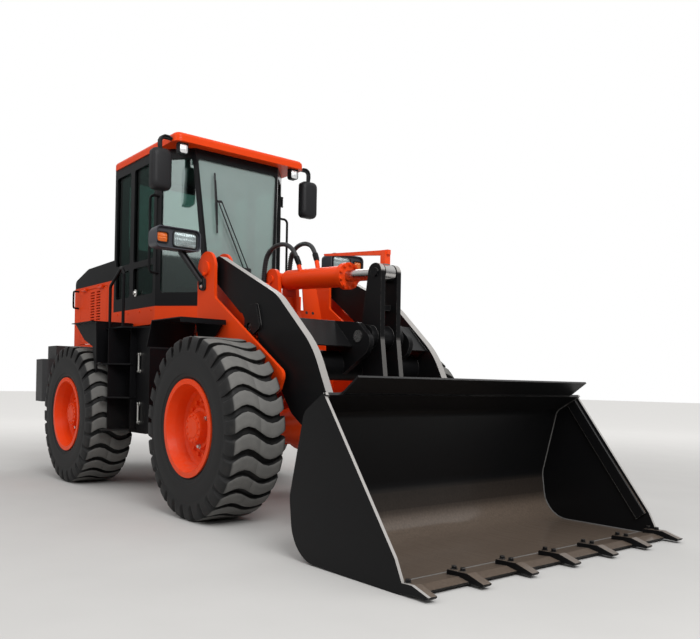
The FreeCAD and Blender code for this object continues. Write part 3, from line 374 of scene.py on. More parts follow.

# %% [markdown]
# The arms, the rocker and the bucket are black too, but they work in gravel. Their edges are rubbed to
# grey steel, which a Bevel node finds by asking how far the rounded normal leans from the true one.
# The bucket's inside is scoured along the way the load slides, so its noise is drawn out along X. The
# The thick plates' upper edges get a pale grey painted highlight, which stands in for the sky they
# mirror; they are picked out by their distance from the middle.

# %% Working black


def worn_black(name, scoured, highlight_from, highlight_to):
    """Black enamel, scoured inside, with a painted highlight on the upper edges of plates in a band."""
    f = Finish(name)
    clouds = f.noise(2.2, 5.0)
    specks = f.noise(70.0, 4.0)
    rounded = f.node("Bevel", {"Radius": 0.006}, samples=4)
    true = f.node("NewGeometry", output="Normal")
    lean = f.node("VectorMath", {0: rounded, 1: true}, 1, operation="DOT_PRODUCT")
    rubbed = f.fade(1 - lean, 0.02, 0.16) * f.fade(specks * 0.5 + clouds * 0.5, 0.44, 0.6) * 0.5
    streaks = f.noise(1.0, 5.0, scales=(2.5, 46.0, 9.0))
    in_bowl = f.fall(f.faces_y.size(), 0.3, 0.6) * f.fade(f.faces_z, -0.1, 0.6)
    low = f.fall(f.z, 0.12, 0.62) * in_bowl
    scour = f.fade(streaks * 0.65 + clouds * 0.35, 0.46, 0.7) * scoured * in_bowl
    floor_wear = low * scoured * (0.35 + specks * 0.5)
    tone = f.blend(scour, colour(0.006, 0.006, 0.0065), colour(0.022, 0.02, 0.018))
    tone = f.blend(floor_wear, tone, colour(0.22, 0.165, 0.125))
    tone = f.blend(rubbed, tone, colour(0.16, 0.155, 0.15))
    off_centre = f.y.size()
    highlight_band = f.fade(off_centre, highlight_from, highlight_from + 0.002)
    highlight_band = highlight_band * f.fall(off_centre, highlight_to - 0.002, highlight_to)
    level = f.fall(f.faces_y.size(), 0.3, 0.6) * f.fade(f.faces_z, 0.05, 0.3)
    # painted highlight: level upper edges in the band turn pale grey, standing in for the sky they mirror
    tone = f.blend(highlight_band * level, tone, colour(0.36, 0.345, 0.33))
    relief = f.bump(streaks, 0.0006 * scoured, f.bump(specks, 0.0002))
    return f.surface(Base_Color=tone, Roughness=0.3 + clouds * 0.14 + scour * 0.22 + floor_wear * 0.25,
                     Coat_Weight=in_bowl * scoured * 0.9, Coat_Roughness=0.16, Specular_IOR_Level=0.12,
                     Normal=relief)


# the last two numbers bound the plates, by distance from the middle, whose upper edges get a painted
# highlight
working_black = worn_black("working_black", 0.1, 0.558, 0.622)
bucket_black = worn_black("bucket_black", 0.8, 1.18, 1.25)
rocker_black = worn_black("rocker_black", 0.08, 0.056, 0.1)
print("worn finishes:", working_black.name, bucket_black.name, rocker_black.name)

# %% [markdown]
# ## Metal, castings, rubber and plastic
# Rods are ground and chromed, pins are greased steel, and the engine and the rear weight are castings
# with a sandy skin. Hose rubber is smooth and dull. The cab's mouldings have a fine leather grain.

# %% Metals and mouldings


def ground_steel(name, tone, rough):
    """Bare metal with the fine lines that a grinding wheel leaves round it."""
    f = Finish(name)
    lines = f.noise(1.0, 4.0, scales=(30.0, 900.0, 30.0))
    return f.surface(Base_Color=f.blend(f.noise(9.0), tone, scaled(tone, 0.8)),
                     Metallic=1.0, Roughness=rough + lines * 0.12, Normal=f.bump(lines, 0.00008))


def grained(name, tone, rough, grains, depth):
    """A dull skin of small cells, so many a metre, clouded by a paler tone."""
    f = Finish(name)
    cells = f.node("TexVoronoi", {"Vector": f.place, "Scale": grains}, feature="F1")
    clouds = f.noise(3.0, 4.0)
    return f.surface(Base_Color=f.blend(clouds, tone, scaled(tone, 1.5)), Roughness=rough + clouds * 0.15,
                     Normal=f.bump(cells, depth))


pin_steel = ground_steel("pin_steel", colour(0.46, 0.45, 0.44), 0.22)
cast_black = grained("cast_black", colour(0.014, 0.014, 0.015), 0.48, 260.0, 0.0005)
engine_grey = grained("engine_grey", colour(0.1, 0.1, 0.105), 0.6, 220.0, 0.0008)
hose_rubber = grained("hose_rubber", colour(0.013, 0.013, 0.014), 0.42, 500.0, 0.0001)
cab_plastic = grained("cab_plastic", colour(0.03, 0.03, 0.032), 0.5, 420.0, 0.0003)
print("plain finishes:", [m.name for m in (pin_steel, cast_black, engine_grey, hose_rubber, cab_plastic)])

# %% [markdown]
# ## Glass
# A pane both lets light through, faintly green, and mirrors the sky more at a flat angle. A Mix Shader
# does that: clear on one side, a mirror on the other, and a Fresnel value shares them out. Plain glass
# shading would bend the light at both faces, and would darken a hollow cab. The windscreen has a pale
# veil, a painted reflection of the bright sky: a third shader laid over the pane where it faces forward.

# %% Glass


def glazing(name, tint, least, side_tint=None):
    """Glass that mirrors at least so much. With side_tint the cab's sides and back are darker."""
    f = Finish(name)
    fresnel = f.node("Fresnel", {"IOR": 1.4})
    tone = tint
    share = fresnel + least
    if side_tint:
        beside = f.fade(f.y.size(), 0.655, 0.662)
        at_side = beside.larger(f.fall(f.x, -1.66, -1.6))
        tone = f.blend(at_side, tint, side_tint)
        share = fresnel * (1 - at_side * 0.6) + least * (1 - at_side)
    clear = f.node("BsdfTransparent", {"Color": tone})
    streaks = f.noise(4.0, 3.0)
    mirror = f.node("BsdfPrincipled", {
        "Base Color": colour(0.62, 0.67, 0.66), "Metallic": 1.0, "Roughness": 0.02 + streaks * 0.03})
    pane = f.node("MixShader", {0: share, 1: clear, 2: mirror})
    if side_tint:
        # painted reflection: a pale diffuse veil on the forward-facing windscreen, for the bright sky it
        # mirrors
        sky_veil = f.node("BsdfDiffuse", {"Color": colour(0.55, 0.66, 0.64)})
        in_front = f.fade(f.faces_x, 0.8, 0.95) * (1 - at_side)
        veil_share = in_front * (0.26 + streaks * 0.06)
        pane = f.node("MixShader", {0: veil_share, 1: pane, 2: sky_veil})
    f.show(pane)
    return f.material


cab_glass = glazing("cab_glass", colour(0.56, 0.7, 0.66), 0.16, colour(0.34, 0.46, 0.43))
lens_glass = glazing("lens_glass", colour(0.9, 0.93, 0.93), 0.02)
print("glass:", cab_glass.name, lens_glass.name)

# %% [markdown]
# ## Dress the solids
# Each solid keeps its shape, and its material slots are pointed at a finish. The record says which
# slot a node uses. The bucket and a few other pieces get a finish of their own. A piece that is made
# later gets a finish and a body to ride on, and a table says which slot each finish stands in.

# %% Assign finishes
# A finish that stands in two slots has its own slot last
finish_of_slot = {
    "orange_paint": orange_paint, "rim_orange": rim_paint, "black_paint": black_paint,
    "working_black": working_black, "tinted_glass": cab_glass, "pin_steel": pin_steel,
    "cast_black": cast_black, "engine_grey": engine_grey, "seat_fabric": cab_plastic,
    "cab_plastic": cab_plastic, "tyre_rubber": hose_rubber, "hose_rubber": hose_rubber,
    "lamp_black": lamp_black}
slot_of_node = {row["node"]: row["material_slot"] for row in frame["record"]["subparts"]}
slot_of_finish = {finish.name: slot for slot, finish in finish_of_slot.items()}
for slot, names in (
        ("working_black", ("bucket_black", "weld_bead")), ("pin_steel", ("zinc_plate",)),
        ("seat_fabric", ("seat_cloth",)), ("tinted_glass", ("lens_glass",)),
        ("lamp_black", ("silvered_bowl", "amber_lens", "red_lens", "bezel_black", "mirror_silver"))):
    slot_of_finish.update(dict.fromkeys(names, slot))


def dress(made, material):
    """Gives a piece one finish, whatever it had."""
    made.data.materials.clear()
    made.data.materials.append(material)
    return made


def put_on(made, material, body="rear_half"):
    """Gives a piece a finish and lets it ride on a body."""
    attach(made, body)
    return dress(made, material)


for name, node_object in nodes.items():
    dress(node_object, finish_of_slot[slot_of_node[name]])
dress(nodes["bucket"], bucket_black)
dress(nodes["bellcrank"], rocker_black)


def rod_and_bar(name, near, far, clear_of_rod):
    """Ground steel along the rod, and enamel on the levelling bar that stands above it."""
    f = Finish(name)
    slope = (far[1] - near[1]) / (far[0] - near[0])
    rod_height = f.x * slope + (near[1] - slope * near[0])
    above_rod = f.z - rod_height
    painted = f.fade(above_rod, clear_of_rod, clear_of_rod + 0.002)
    lines = f.noise(1.0, 4.0, scales=(30.0, 900.0, 30.0))
    return f.surface(Base_Color=f.blend(painted, colour(0.5, 0.49, 0.48), orange_tone),
                     Metallic=1 - painted, Roughness=0.18 + lines * 0.1 + painted * 0.1)


tilt_foot, tilt_head = (0.34, 1.908), (1.683, 1.832)        # the tilt cylinder's eyes, as x and z
dress(nodes["tilt_rod"], rod_and_bar("tilt_rod_and_bar", tilt_foot, tilt_head, 0.068))
for hose in hoses:
    dress(hose, hose_rubber)
print("dressed", len(nodes), "nodes")

# %% [markdown]
# ## The tyres
# A loader's tyre has deep wavy bars that run right across it and break off at the shoulders. It is one
# mesh: rings of points from bead to bead, each at a lug's height or at the groove's, by a mask that
# repeats round the wheel. A sine shifts the points round the wheel, which makes the bars wavy. A
# displaced texture would be simpler to write, but it can't give upright walls and crisp edges.

# %% Tyre mesh
wheel_height = 0.672
wheel_places = {
    "front_right": (0.825, -0.93), "front_left": (0.825, 0.93),
    "rear_right": (-1.725, -0.93), "rear_left": (-1.725, 0.93)}
lug_count = 28
wave_height = 0.042
wave_length = 0.38
smooth_up_to, wavy_from = 0.5, 0.6        # radii between which the wave sets in
bead_bore = 0.3305

# Where a column of points stands in one pitch, and how much of a lug it is
lug_columns = [(0.0, 0.0), (0.03, 0.92), (0.06, 1.0), (0.2, 1.0), (0.36, 1.0), (0.52, 1.0),
               (0.67, 1.0), (0.7, 0.92), (0.73, 0.0), (0.865, 0.0)]

# From bead to middle: distance outboard and radius, first on a lug, then in a groove
side_rings = [(0.1995, 0.366), (0.203, 0.372), (0.208, 0.376), (0.212, 0.39), (0.214, 0.402),
              (0.2175, 0.404), (0.2185, 0.412), (0.218, 0.418), (0.2215, 0.445), (0.2225, 0.49),
              (0.221, 0.53), (0.2185, 0.548), (0.22, 0.552), (0.2195, 0.56)]
tread_rings = [((0.2225, 0.572), (0.2145, 0.57)), ((0.2215, 0.595), (0.208, 0.592)),
               ((0.214, 0.64), (0.194, 0.618)), ((0.205, 0.662), (0.178, 0.632)),
               ((0.196, 0.668), (0.165, 0.638)), ((0.18, 0.6712), (0.15, 0.64)),
               ((0.14, 0.672), (0.125, 0.6405)), ((0.095, 0.672), (0.09, 0.641)),
               ((0.05, 0.672), (0.05, 0.641)), ((0.002, 0.672), (0.002, 0.641))]
seam_dip = 0.0015
groove_floor = 0.641


def ring_walls(start, rings, count, closed=False):
    """Faces between rings of count points, from the vertex start on; closed joins last to first."""
    faces = []
    for r in range(rings if closed else rings - 1):
        here, there = start + r * count, start + (r + 1) % rings * count
        for i in range(count):
            j = (i + 1) % count
            faces.append((here + i, here + j, there + j, there + i))
    return faces


def tyre_rings():
    """All rings from the outer bead to the inner one, as pairs of (outboard, radius)."""
    half = [(ring, ring) for ring in side_rings] + tread_rings
    middle = [((0.0, wheel_height - seam_dip), (0.0, groove_floor))]
    return half + middle + [((-a[0], a[1]), (-b[0], b[1])) for a, b in reversed(half)]


def tyre_mesh(name, side):
    """A tyre round its own axle, with its outboard side towards side along Y."""
    rings = tyre_rings()
    vertices = []
    pitch = tau / lug_count
    for lug in range(lug_count):
        for phase, mask in lug_columns:
            turn = (lug + phase) * pitch
            for (lug_out, lug_radius), (low_out, low_radius) in rings:
                out = low_out + (lug_out - low_out) * mask
                radius = low_radius + (lug_radius - low_radius) * mask
                shoulder = min(1.0, max(0.0, (radius - smooth_up_to) / (wavy_from - smooth_up_to)))
                shift = wave_height * sin(tau * out / wave_length) / wheel_height * shoulder
                angle = turn + shift
                vertices.append((radius * cos(angle), side * out, radius * sin(angle)))
            for out in (-rings[0][0][0], rings[0][0][0]):
                vertices.append((bead_bore * cos(turn), side * out, bead_bore * sin(turn)))
    faces = ring_walls(0, lug_count * len(lug_columns), len(rings) + 2, closed=True)
    if side < 0:
        faces = [face[::-1] for face in faces]
    made = add_mesh(name, vertices, faces, smooth=True)
    made.data.set_sharp_from_angle(angle=radians(38))
    return made


tyres = {}
for corner, (x, y) in wheel_places.items():
    tyre = tyre_mesh("lugged_tyre_" + corner, 1 if y > 0 else -1)
    tyre.location = (x, y, wheel_height)
    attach(tyre, "wheel_" + corner)
    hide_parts("tyre_" + corner)
    tyres[corner] = tyre
print("a tyre has", len(tyre.data.polygons), "faces")

# %% [markdown]
# The rubber is nearly black and dull. The tops of the bars are ground to a paler grey by the road, so
# the finish looks at the distance from the axle, which it gets from the tyre's own coordinates.

# %% Tyre rubber
rubber = Finish("tyre_rubber")
from_axle = rubber.length(rubber.stretched((1.0, 0.0, 1.0)))
worn_top = rubber.fade(from_axle, 0.664, 0.671)
mottled = rubber.noise(14.0, 5.0)
fine = rubber.noise(140.0, 4.0)
dusty_side = rubber.fade(from_axle, 0.55, 0.66) * rubber.fade(mottled, 0.45, 0.75) * 0.25
tread_tone = rubber.blend(mottled, colour(0.125, 0.123, 0.118), colour(0.185, 0.18, 0.168))
rubber_tone = rubber.blend(dusty_side, colour(0.009, 0.009, 0.0092), colour(0.05, 0.044, 0.038))
rubber_tone = rubber.blend(worn_top * (0.75 + fine * 0.25), rubber_tone, tread_tone)
tyre_rubber = rubber.surface(Base_Color=rubber_tone, Roughness=0.52 + fine * 0.16 + worn_top * 0.1,
                             Specular_IOR_Level=0.3,
                             Normal=rubber.bump(fine, 0.0006))
for tyre in tyres.values():
    dress(tyre, tyre_rubber)
print("tyres in", tyre_rubber.name)

# %% [markdown]
# ## Small turned and lofted pieces
# Lamps, mirrors, covers and bolts share two ways of making. A loft joins rings of points, one behind
# the other, and a row of bolts is one mesh of chamfered six-sided heads. Both work on points in the
# machine's own frame, so nothing has to be placed afterwards. The rings come from short tables, whose
# columns the functions name.

# %% Lofts and bolts
both_sides = ((-1, "right"), (1, "left"))        # the sign of y and the word for it


def rounded_ring(half_wide, half_high, radius, steps=5):
    """A rectangle with round corners, as (across, up) points."""
    ring = []
    for cx, cy, start in ((1, 1, 0), (-1, 1, 90), (-1, -1, 180), (1, -1, 270)):
        for i in range(steps + 1):
            a = radians(start + 90 * i / steps)
            ring.append((cx * (half_wide - radius) + radius * cos(a),
                         cy * (half_high - radius) + radius * sin(a)))
    return ring


def circle_ring(radius, steps):
    """A circle, as (across, up) points."""
    return [(radius * cos(tau * i / steps), radius * sin(tau * i / steps))
            for i in range(steps)]


def turned(rows, steps=40):
    """Rings of a turned form, from rows of radius and height."""
    return [(circle_ring(radius, steps), height) for radius, height in rows]


def moulded(rows):
    """Rings of a round-cornered form, from rows of half width, half height, corner and height."""
    return [(rounded_ring(wide, high, corner), height) for wide, high, corner, height in rows]


def dome(half_wide, half_high, radius, rise, rings=6):
    """Rings of a shallow dome over a rounded rectangle."""
    shares = [1 - i / rings for i in range(rings)]
    return moulded([(half_wide * s, half_high * s, radius * s, rise * (1 - s * s)) for s in shares])


def axes_of(normal):
    """Two directions square to a normal, the second as upright as can be, and the normal."""
    out = Vector(normal).normalized()
    across = Vector((0, 0, 1)).cross(out) if abs(out.z) < 0.9 else Vector((0, 1, 0))
    across.normalize()
    return across, out.cross(across), out


def closed_form(rings, count):
    """The faces of one form: its walls, its first ring as a floor and its last as a lid."""
    floor_face = tuple(reversed(range(count)))
    lid_face = tuple(range((rings - 1) * count, rings * count))
    return ring_walls(0, rings, count) + [floor_face, lid_face]


def loft(name, centre, normal, rings, finish, body="rear_half", crease=30):
    """Joins rings of (points, height along the normal) into a closed form."""
    across, up, out = axes_of(normal)
    vertices = []
    for points, height in rings:
        vertices += [Vector(centre) + across * u + up * v + out * height for u, v in points]
    made = add_mesh(name, vertices, closed_form(len(rings), len(rings[0][0])), smooth=True)
    made.data.set_sharp_from_angle(angle=radians(crease))
    return put_on(made, finish, body)


def bolts(name, places, normal, across_flats, height, finish, body="rear_half"):
    """One mesh of hexagon bolts, each on its washer, all facing one way."""
    across, up, out = axes_of(normal)
    corner, count = across_flats / sqrt(3), 18
    # radius, level, whether six-sided
    levels = [(corner * 1.25, 0.0, False), (corner * 1.25, height * 0.18, False),
              (corner, height * 0.18, True), (corner, height * 0.86, True), (corner * 0.84, height, True)]
    vertices, faces = [], []
    for number, place in enumerate(places):
        turn = 0.7 * number
        start = len(vertices)
        for radius, level, six_sided in levels:
            for i in range(count):
                a = tau * i / count
                wedge = (a + pi / 6) % (pi / 3) - pi / 6
                reach = radius * cos(pi / 6) / cos(wedge) if six_sided else radius
                way = across * cos(a + turn) + up * sin(a + turn)
                vertices.append(Vector(place) + way * reach + out * level)
        faces += ring_walls(start, len(levels), count)
        faces.append(tuple(range(len(vertices) - count, len(vertices))))
    return put_on(add_mesh(name, vertices, faces), finish, body)


print("a ring has", len(rounded_ring(1, 1, 0.2)), "points")

# %% [markdown]
# ## Wheels' hubs
# The hub ends in the cover of a planetary gear: a flat lid with a ring of small bolts. Three bright
# plugs stand on the hub behind it, and nuts hold the rim's disc. They all turn with the wheel.

# %% Hub details
bright_metal = ground_steel("zinc_plate", colour(0.7, 0.69, 0.66), 0.25)
hub_lid = turned([(0.1105, 0.0), (0.1105, 0.006), (0.108, 0.009), (0.074, 0.01), (0.071, 0.015),
                  (0.03, 0.017), (0.024, 0.016)])
# word, outboard of the wheel's middle, ring's radius, count, first angle, across flats, height, finish
hub_rows = [
    ("lid_bolts", 0.157, 0.093, 12, 0.0, 0.016, 0.01, rim_paint),
    ("wheel_nuts", 0.065, 0.205, 16, 0.1, 0.032, 0.024, rim_paint),
    ("hub_plugs", 0.105, 0.136, 3, 0.6, 0.026, 0.02, bright_metal)]
for corner, (x, y) in wheel_places.items():
    side = 1 if y > 0 else -1
    loft("hub_lid_" + corner, (x, y + side * 0.149, wheel_height), (0, side, 0), hub_lid,
         rim_paint, "wheel_" + corner)
    for word, out, radius, count, first, flats, height, finish in hub_rows:
        angles = [first + tau * i / count for i in range(count)]
        places = [(x + radius * cos(a), y + side * out, wheel_height + radius * sin(a))
                  for a in angles]
        bolts(word + "_" + corner, places, (0, side, 0), flats, height, finish, "wheel_" + corner)
print("hubs:", len(wheel_places), "with", sum(row[3] for row in hub_rows), "bolts and plugs each")

# %% [markdown]
# ## Lamps
# A head lamp is a moulded frame with a clear lamp and an amber one in it. Behind each lens lies a
# silvered bowl with upright flutes, which a wave of bump gives. The same lens, smaller, is used for
# the working lamps under the roof. The tail lamps are red.

# %% Lamps


def fluted(name, tone, metallic, rough, pitch):
    """A lens or a bowl with upright flutes and flatter waves across them."""
    f = Finish(name)
    flutes = (f.y * (tau / pitch)).sine()
    ripples = (f.z * (tau / (pitch * 2.5))).sine()
    return f.surface(Base_Color=f.blend(f.noise(30.0), tone, scaled(tone, 0.85)),
                     Metallic=metallic, Roughness=rough, Coat_Weight=0.6,
                     Normal=f.bump(flutes + ripples * 0.6, 0.0012))


silvered = fluted("silvered_bowl", colour(0.88, 0.89, 0.9), 0.45, 0.3, 0.016)
amber_lens = fluted("amber_lens", colour(0.85, 0.16, 0.008), 0.0, 0.18, 0.009)
red_lens = fluted("red_lens", colour(0.55, 0.012, 0.008), 0.0, 0.18, 0.009)
bezel_black = grained("bezel_black", colour(0.03, 0.032, 0.04), 0.38, 300.0, 0.0002)
housing = moulded([
    (0.12, 0.055, 0.03, -0.04), (0.185, 0.078, 0.04, -0.022), (0.198, 0.086, 0.045, 0.03),
    (0.202, 0.089, 0.045, 0.15), (0.199, 0.086, 0.043, 0.155), (0.192, 0.079, 0.038, 0.154),
    (0.188, 0.075, 0.036, 0.13)])
bowl_x, bowl_z = 0.131, 2.178
# word, middle across, half width, half height, corner, finish of the bowl
bowl_rows = [("beam", 0.829, 0.104, 0.062, 0.026, silvered),
             ("signal", 1.03, 0.047, 0.04, 0.018, amber_lens)]
# word, x, y and z of the middle, facing along x, half width, half height, corner, rise, finish
lens_rows = [
    ("work_lamp_front", -0.3615, 0.605, 3.096, 1, 0.04, 0.041, 0.018, 0.01, silvered),
    ("work_lamp_rear", -1.7585, 0.56, 3.065, -1, 0.035, 0.04, 0.016, 0.01, silvered),
    ("tail_lamp", -3.3305, 0.69, 1.305, -1, 0.064, 0.03, 0.01, 0.006, red_lens)]
forward = (1, 0, 0)

for side, hand in both_sides:
    loft("lamp_frame_" + hand, (0.0, side * 0.892, 2.18), forward, housing, bezel_black, "front_half")
    for word, middle, wide, high, corner, bowl in bowl_rows:
        spot = (bowl_x, side * middle, bowl_z)
        loft("%s_bowl_%s" % (word, hand), spot, forward, dome(wide, high, corner, 0.008), bowl,
             "front_half", crease=70)
        outer, inner = (wide + 0.006, high + 0.006, corner), (wide - 0.001, high - 0.001, corner)
        rim = moulded([(*outer, -0.001), (*outer, 0.014), (*inner, 0.015), (*inner, 0.0)])
        loft("%s_rim_%s" % (word, hand), spot, forward, rim, lamp_black, "front_half")
    beam_glass = [(points, level + 0.013) for points, level in dome(0.102, 0.06, 0.025, 0.009)]
    loft("beam_glass_" + hand, (bowl_x, side * 0.829, bowl_z), forward, beam_glass, lens_glass,
         "front_half", crease=70)
    for word, x, y, z, facing, wide, high, corner, rise, finish in lens_rows:
        loft("%s_%s" % (word, hand), (x, side * y, z), (facing, 0, 0), dome(wide, high, corner, rise),
             finish, crease=70)
print("lamps done on both sides")

# %% [markdown]
# ## Mirrors
# Each mirror has a deep moulded shell in front and a silvered glass behind, on a bent strap from the
# roof. The shell bulges over the flat solid that holds its place.

# %% Mirrors
mirror_silver = ground_steel("mirror_silver", colour(0.88, 0.9, 0.9), 0.02)
mirror_shell = moulded([
    (0.0905, 0.181, 0.042, -0.05), (0.0925, 0.183, 0.045, -0.01), (0.09, 0.18, 0.05, 0.012),
    (0.078, 0.166, 0.052, 0.027), (0.055, 0.14, 0.045, 0.034)])
mirror_glass = moulded([(0.08, 0.168, 0.032, -0.001), (0.08, 0.168, 0.032, 0.003),
                        (0.078, 0.166, 0.031, 0.004)])
for side, hand in both_sides:
    loft("mirror_shell_" + hand, (-0.381, side * 0.805, 2.88), forward, mirror_shell, lamp_black,
         crease=60)
    loft("mirror_glass_" + hand, (-0.4405, side * 0.805, 2.88), (-1, 0, 0), mirror_glass, mirror_silver)
print("mirrors done")

# %% [markdown]
# ## The cab's outside
# Two parallel arms carry the wiper's blade over the windscreen. The lamps' flat brackets are bolted to
# the frame. Behind the hood's slots lies a dark sheet of painted shade, standing in for the dim engine
# bay, because one shouldn't see through the engine.

# %% Bars, shade sheets and the wiper


def bar(name, path, wide, thick, flat_to, finish, body="rear_half"):
    """A flat bar along a path, its wide side facing flat_to."""
    face = Vector(flat_to).normalized()
    points = [Vector(p) for p in path]
    a, b, corner = wide / 2, thick / 2, thick * 0.25
    section = [(a - corner, b), (corner - a, b), (-a, b - corner), (-a, corner - b),
               (corner - a, -b), (a - corner, -b), (a, corner - b), (a, b - corner)]
    vertices = []
    for i, point in enumerate(points):
        along = (points[min(i + 1, len(points) - 1)] - points[max(i - 1, 0)]).normalized()
        across = along.cross(face).normalized()
        out = across.cross(along).normalized()
        vertices += [point + across * u + out * v for u, v in section]
    made = add_mesh(name, vertices, closed_form(len(points), len(section)))
    return put_on(made, finish, body)


# y and z along the mirror's strap, from the roof outward and down
strap_line = [(0.7, 3.17), (0.735, 3.186), (0.775, 3.187), (0.801, 3.172), (0.815, 3.145),
              (0.816, 3.105), (0.81, 3.064)]
for side, hand in both_sides:
    bar("mirror_strap_" + hand, [(-0.41, side * y, z) for y, z in strap_line], 0.056, 0.014,
        (0, side * 0.7, 0.7), lamp_black)


def on_windscreen(y, z, off):
    """A point before the windscreen, which leans back towards the roof."""
    return (-0.309 - 0.0892 * (z - 1.79) + 0.002 + off, y, z)


glass_face = (0.996, 0.0, 0.089)
# name, points as y, z and height over the glass, width, thickness, finish
wiper_rows = [
    ("wiper_blade", [(-0.256, 2.39, 0.008), (-0.261, 2.6, 0.01), (-0.266, 2.95, 0.008)],
     0.016, 0.012, hose_rubber),
    ("wiper_spine", [(-0.258, 2.46, 0.018), (-0.262, 2.67, 0.028), (-0.265, 2.88, 0.018)],
     0.012, 0.01, lamp_black),
    ("wiper_cross", [(-0.262, 2.68, 0.034), (-0.215, 2.685, 0.034)], 0.022, 0.01, lamp_black),
    ("wiper_arm_0", [(0.012, 2.075, 0.022), (-0.255, 2.684, 0.04)], 0.011, 0.008, lamp_black),
    ("wiper_arm_1", [(0.062, 2.075, 0.022), (-0.218, 2.684, 0.04)], 0.011, 0.008, lamp_black)]
for name, points, wide, thick, finish in wiper_rows:
    bar(name, [on_windscreen(*point) for point in points], wide, thick, glass_face, finish)
loft("wiper_motor", on_windscreen(0.037, 2.07, -0.002), glass_face,
     moulded([(0.055, 0.024, 0.015, 0.0), (0.055, 0.024, 0.015, 0.022), (0.046, 0.018, 0.012, 0.03)]),
     lamp_black)

slot_shade_sheet = moulded([(0.19, 0.215, 0.01, -0.004), (0.19, 0.215, 0.01, 0.0)])
for side, hand in both_sides:
    bracket_y = side * 0.702
    bar("lamp_bracket_" + hand,
        [(0.2, bracket_y, 1.785), (0.182, bracket_y, 1.862), (0.075, side * 0.835, 2.098)],
        0.066, 0.01, (0.25, side * 1.0, 0.2), black_paint, "front_half")
    bolts("bracket_bolts_" + hand, [(0.2, side * 0.706, 1.8), (0.188, side * 0.706, 1.85)],
          (0, side, 0), 0.022, 0.012, bright_metal, "front_half")
    # painted shade: a dark sheet behind the hood's slots, for the dim engine bay
    loft("slot_shade_sheet_" + hand, (-2.7, side * 0.489, 1.845), (0, side, 0), slot_shade_sheet,
         hose_rubber, "hood_door_" + hand)
print("wiper, straps, brackets and screens done")

# %% [markdown]
# ## The frame's tower and the tilt cylinder
# A wide sloping plate closes the tower under the tilt cylinder, with two holes on each side, which are
# thin dark discs of painted shade. It is notched where the hoses swing past, and a plate at the tower's
# back closes what shows through the notch. The cylinder's head is held by a ring of bolts.

# %% Tower and cylinder details
low_x, high_x, low_z, high_z = 0.47, 0.412, 1.421, 1.862        # the sloping plate's two ends
notch_z = 1.655             # the hoses swing past above this height when the arms rise
hole_z = 1.637


def slope_x(z):
    """Where the sloping plate stands at a height."""
    return low_x - (z - low_z) / (high_z - low_z) * (low_x - high_x)


def sheet(name, corners, thick=0.012):
    """A flat orange plate through four corner points, thick behind its face."""
    face = [Vector(c) for c in corners]
    out = (face[1] - face[0]).cross(face[3] - face[0]).normalized()
    faces = [(0, 1, 2, 3), (7, 6, 5, 4)] + [(k, k + 4, (k + 1) % 4 + 4, (k + 1) % 4) for k in range(4)]
    made = add_mesh(name, face + [c - out * thick for c in face], faces)
    soften = made.modifiers.new("rounded edges", "BEVEL")
    soften.width = 0.002
    soften.segments = 2
    return put_on(made, orange_paint, "front_half")


front_top = high_z - 0.1
sheet("tower_front", [(low_x, -0.074, low_z), (low_x, 0.074, low_z), (high_x, 0.074, front_top),
                      (high_x, -0.074, front_top)])
# word, its inner, outer low and outer high edges, then low and high x, low and high z
tower_rows = [
    ("tower_sill", (0.111, 0.175, 0.175), (low_x, slope_x(notch_z)), (low_z, notch_z)),
    ("tower_wing", (0.173, 0.385, 0.325), (low_x, high_x), (low_z, high_z)),
    ("tower_back", (0.112, 0.385, 0.385), (0.1, 0.098), (low_z, 1.82))]
slope_face = Vector((high_z - low_z, 0, low_x - high_x)).normalized()
for side, hand in both_sides:
    for word, ys, xs, zs in tower_rows:
        inner, outer_low, outer_high = (side * y for y in ys)
        corners = [(xs[0], inner, zs[0]), (xs[0], outer_low, zs[0]),
                   (xs[1], outer_high, zs[1]), (xs[1], inner, zs[1])]
        sheet("%s_%s" % (word, hand), corners if side > 0 else [corners[k] for k in (1, 0, 3, 2)])
    # painted shade: each hole is a thin dark disc laid on the sloping plate
    for number, y in enumerate((0.199, 0.268)):
        loft("wing_hole_shade_%s_%d" % (hand, number), (slope_x(hole_z) + 0.0005, side * y, hole_z), slope_face,
             turned([(0.013, 0.0), (0.013, 0.001)], 20), hose_rubber, "front_half")

foot, head = (Vector((x, 0, z)) for x, z in (tilt_foot, tilt_head))
tilt_way = (head - foot).normalized()
across = Vector((0, 1, 0))
upward = tilt_way.cross(across)
gland_face = foot + tilt_way * 0.9305
gland_ring = [gland_face + (across * cos(a) + upward * sin(a)) * 0.09
              for a in (tau * (i + 0.5) / 10 for i in range(10))]
bolts("gland_bolts", gland_ring, tilt_way, 0.024, 0.016, orange_paint, "tilt_cylinder_barrel")
for side, hand in both_sides:
    bolts("arm_pin_bolt_" + hand, [(0.228, side * 0.6965, 1.902)], (0, side, 0), 0.024, 0.014,
          orange_paint, "front_half")
print("gland bolts:", len(gland_ring))

# %% [markdown]
# ## The bucket
# The bucket is welded from plate. Its front edges are stiffened by bars, and weld beads run where the
# side plates meet the shell and along the cutting edge. A bead is a thin round line with a scaly
# relief. Its points carry its radius, so that its box is measured true. Each tooth's holder is
# clamped by two bolts.

# %% Bucket details
bead = grained("weld_bead", colour(0.1, 0.098, 0.095), 0.45, 160.0, 0.002)


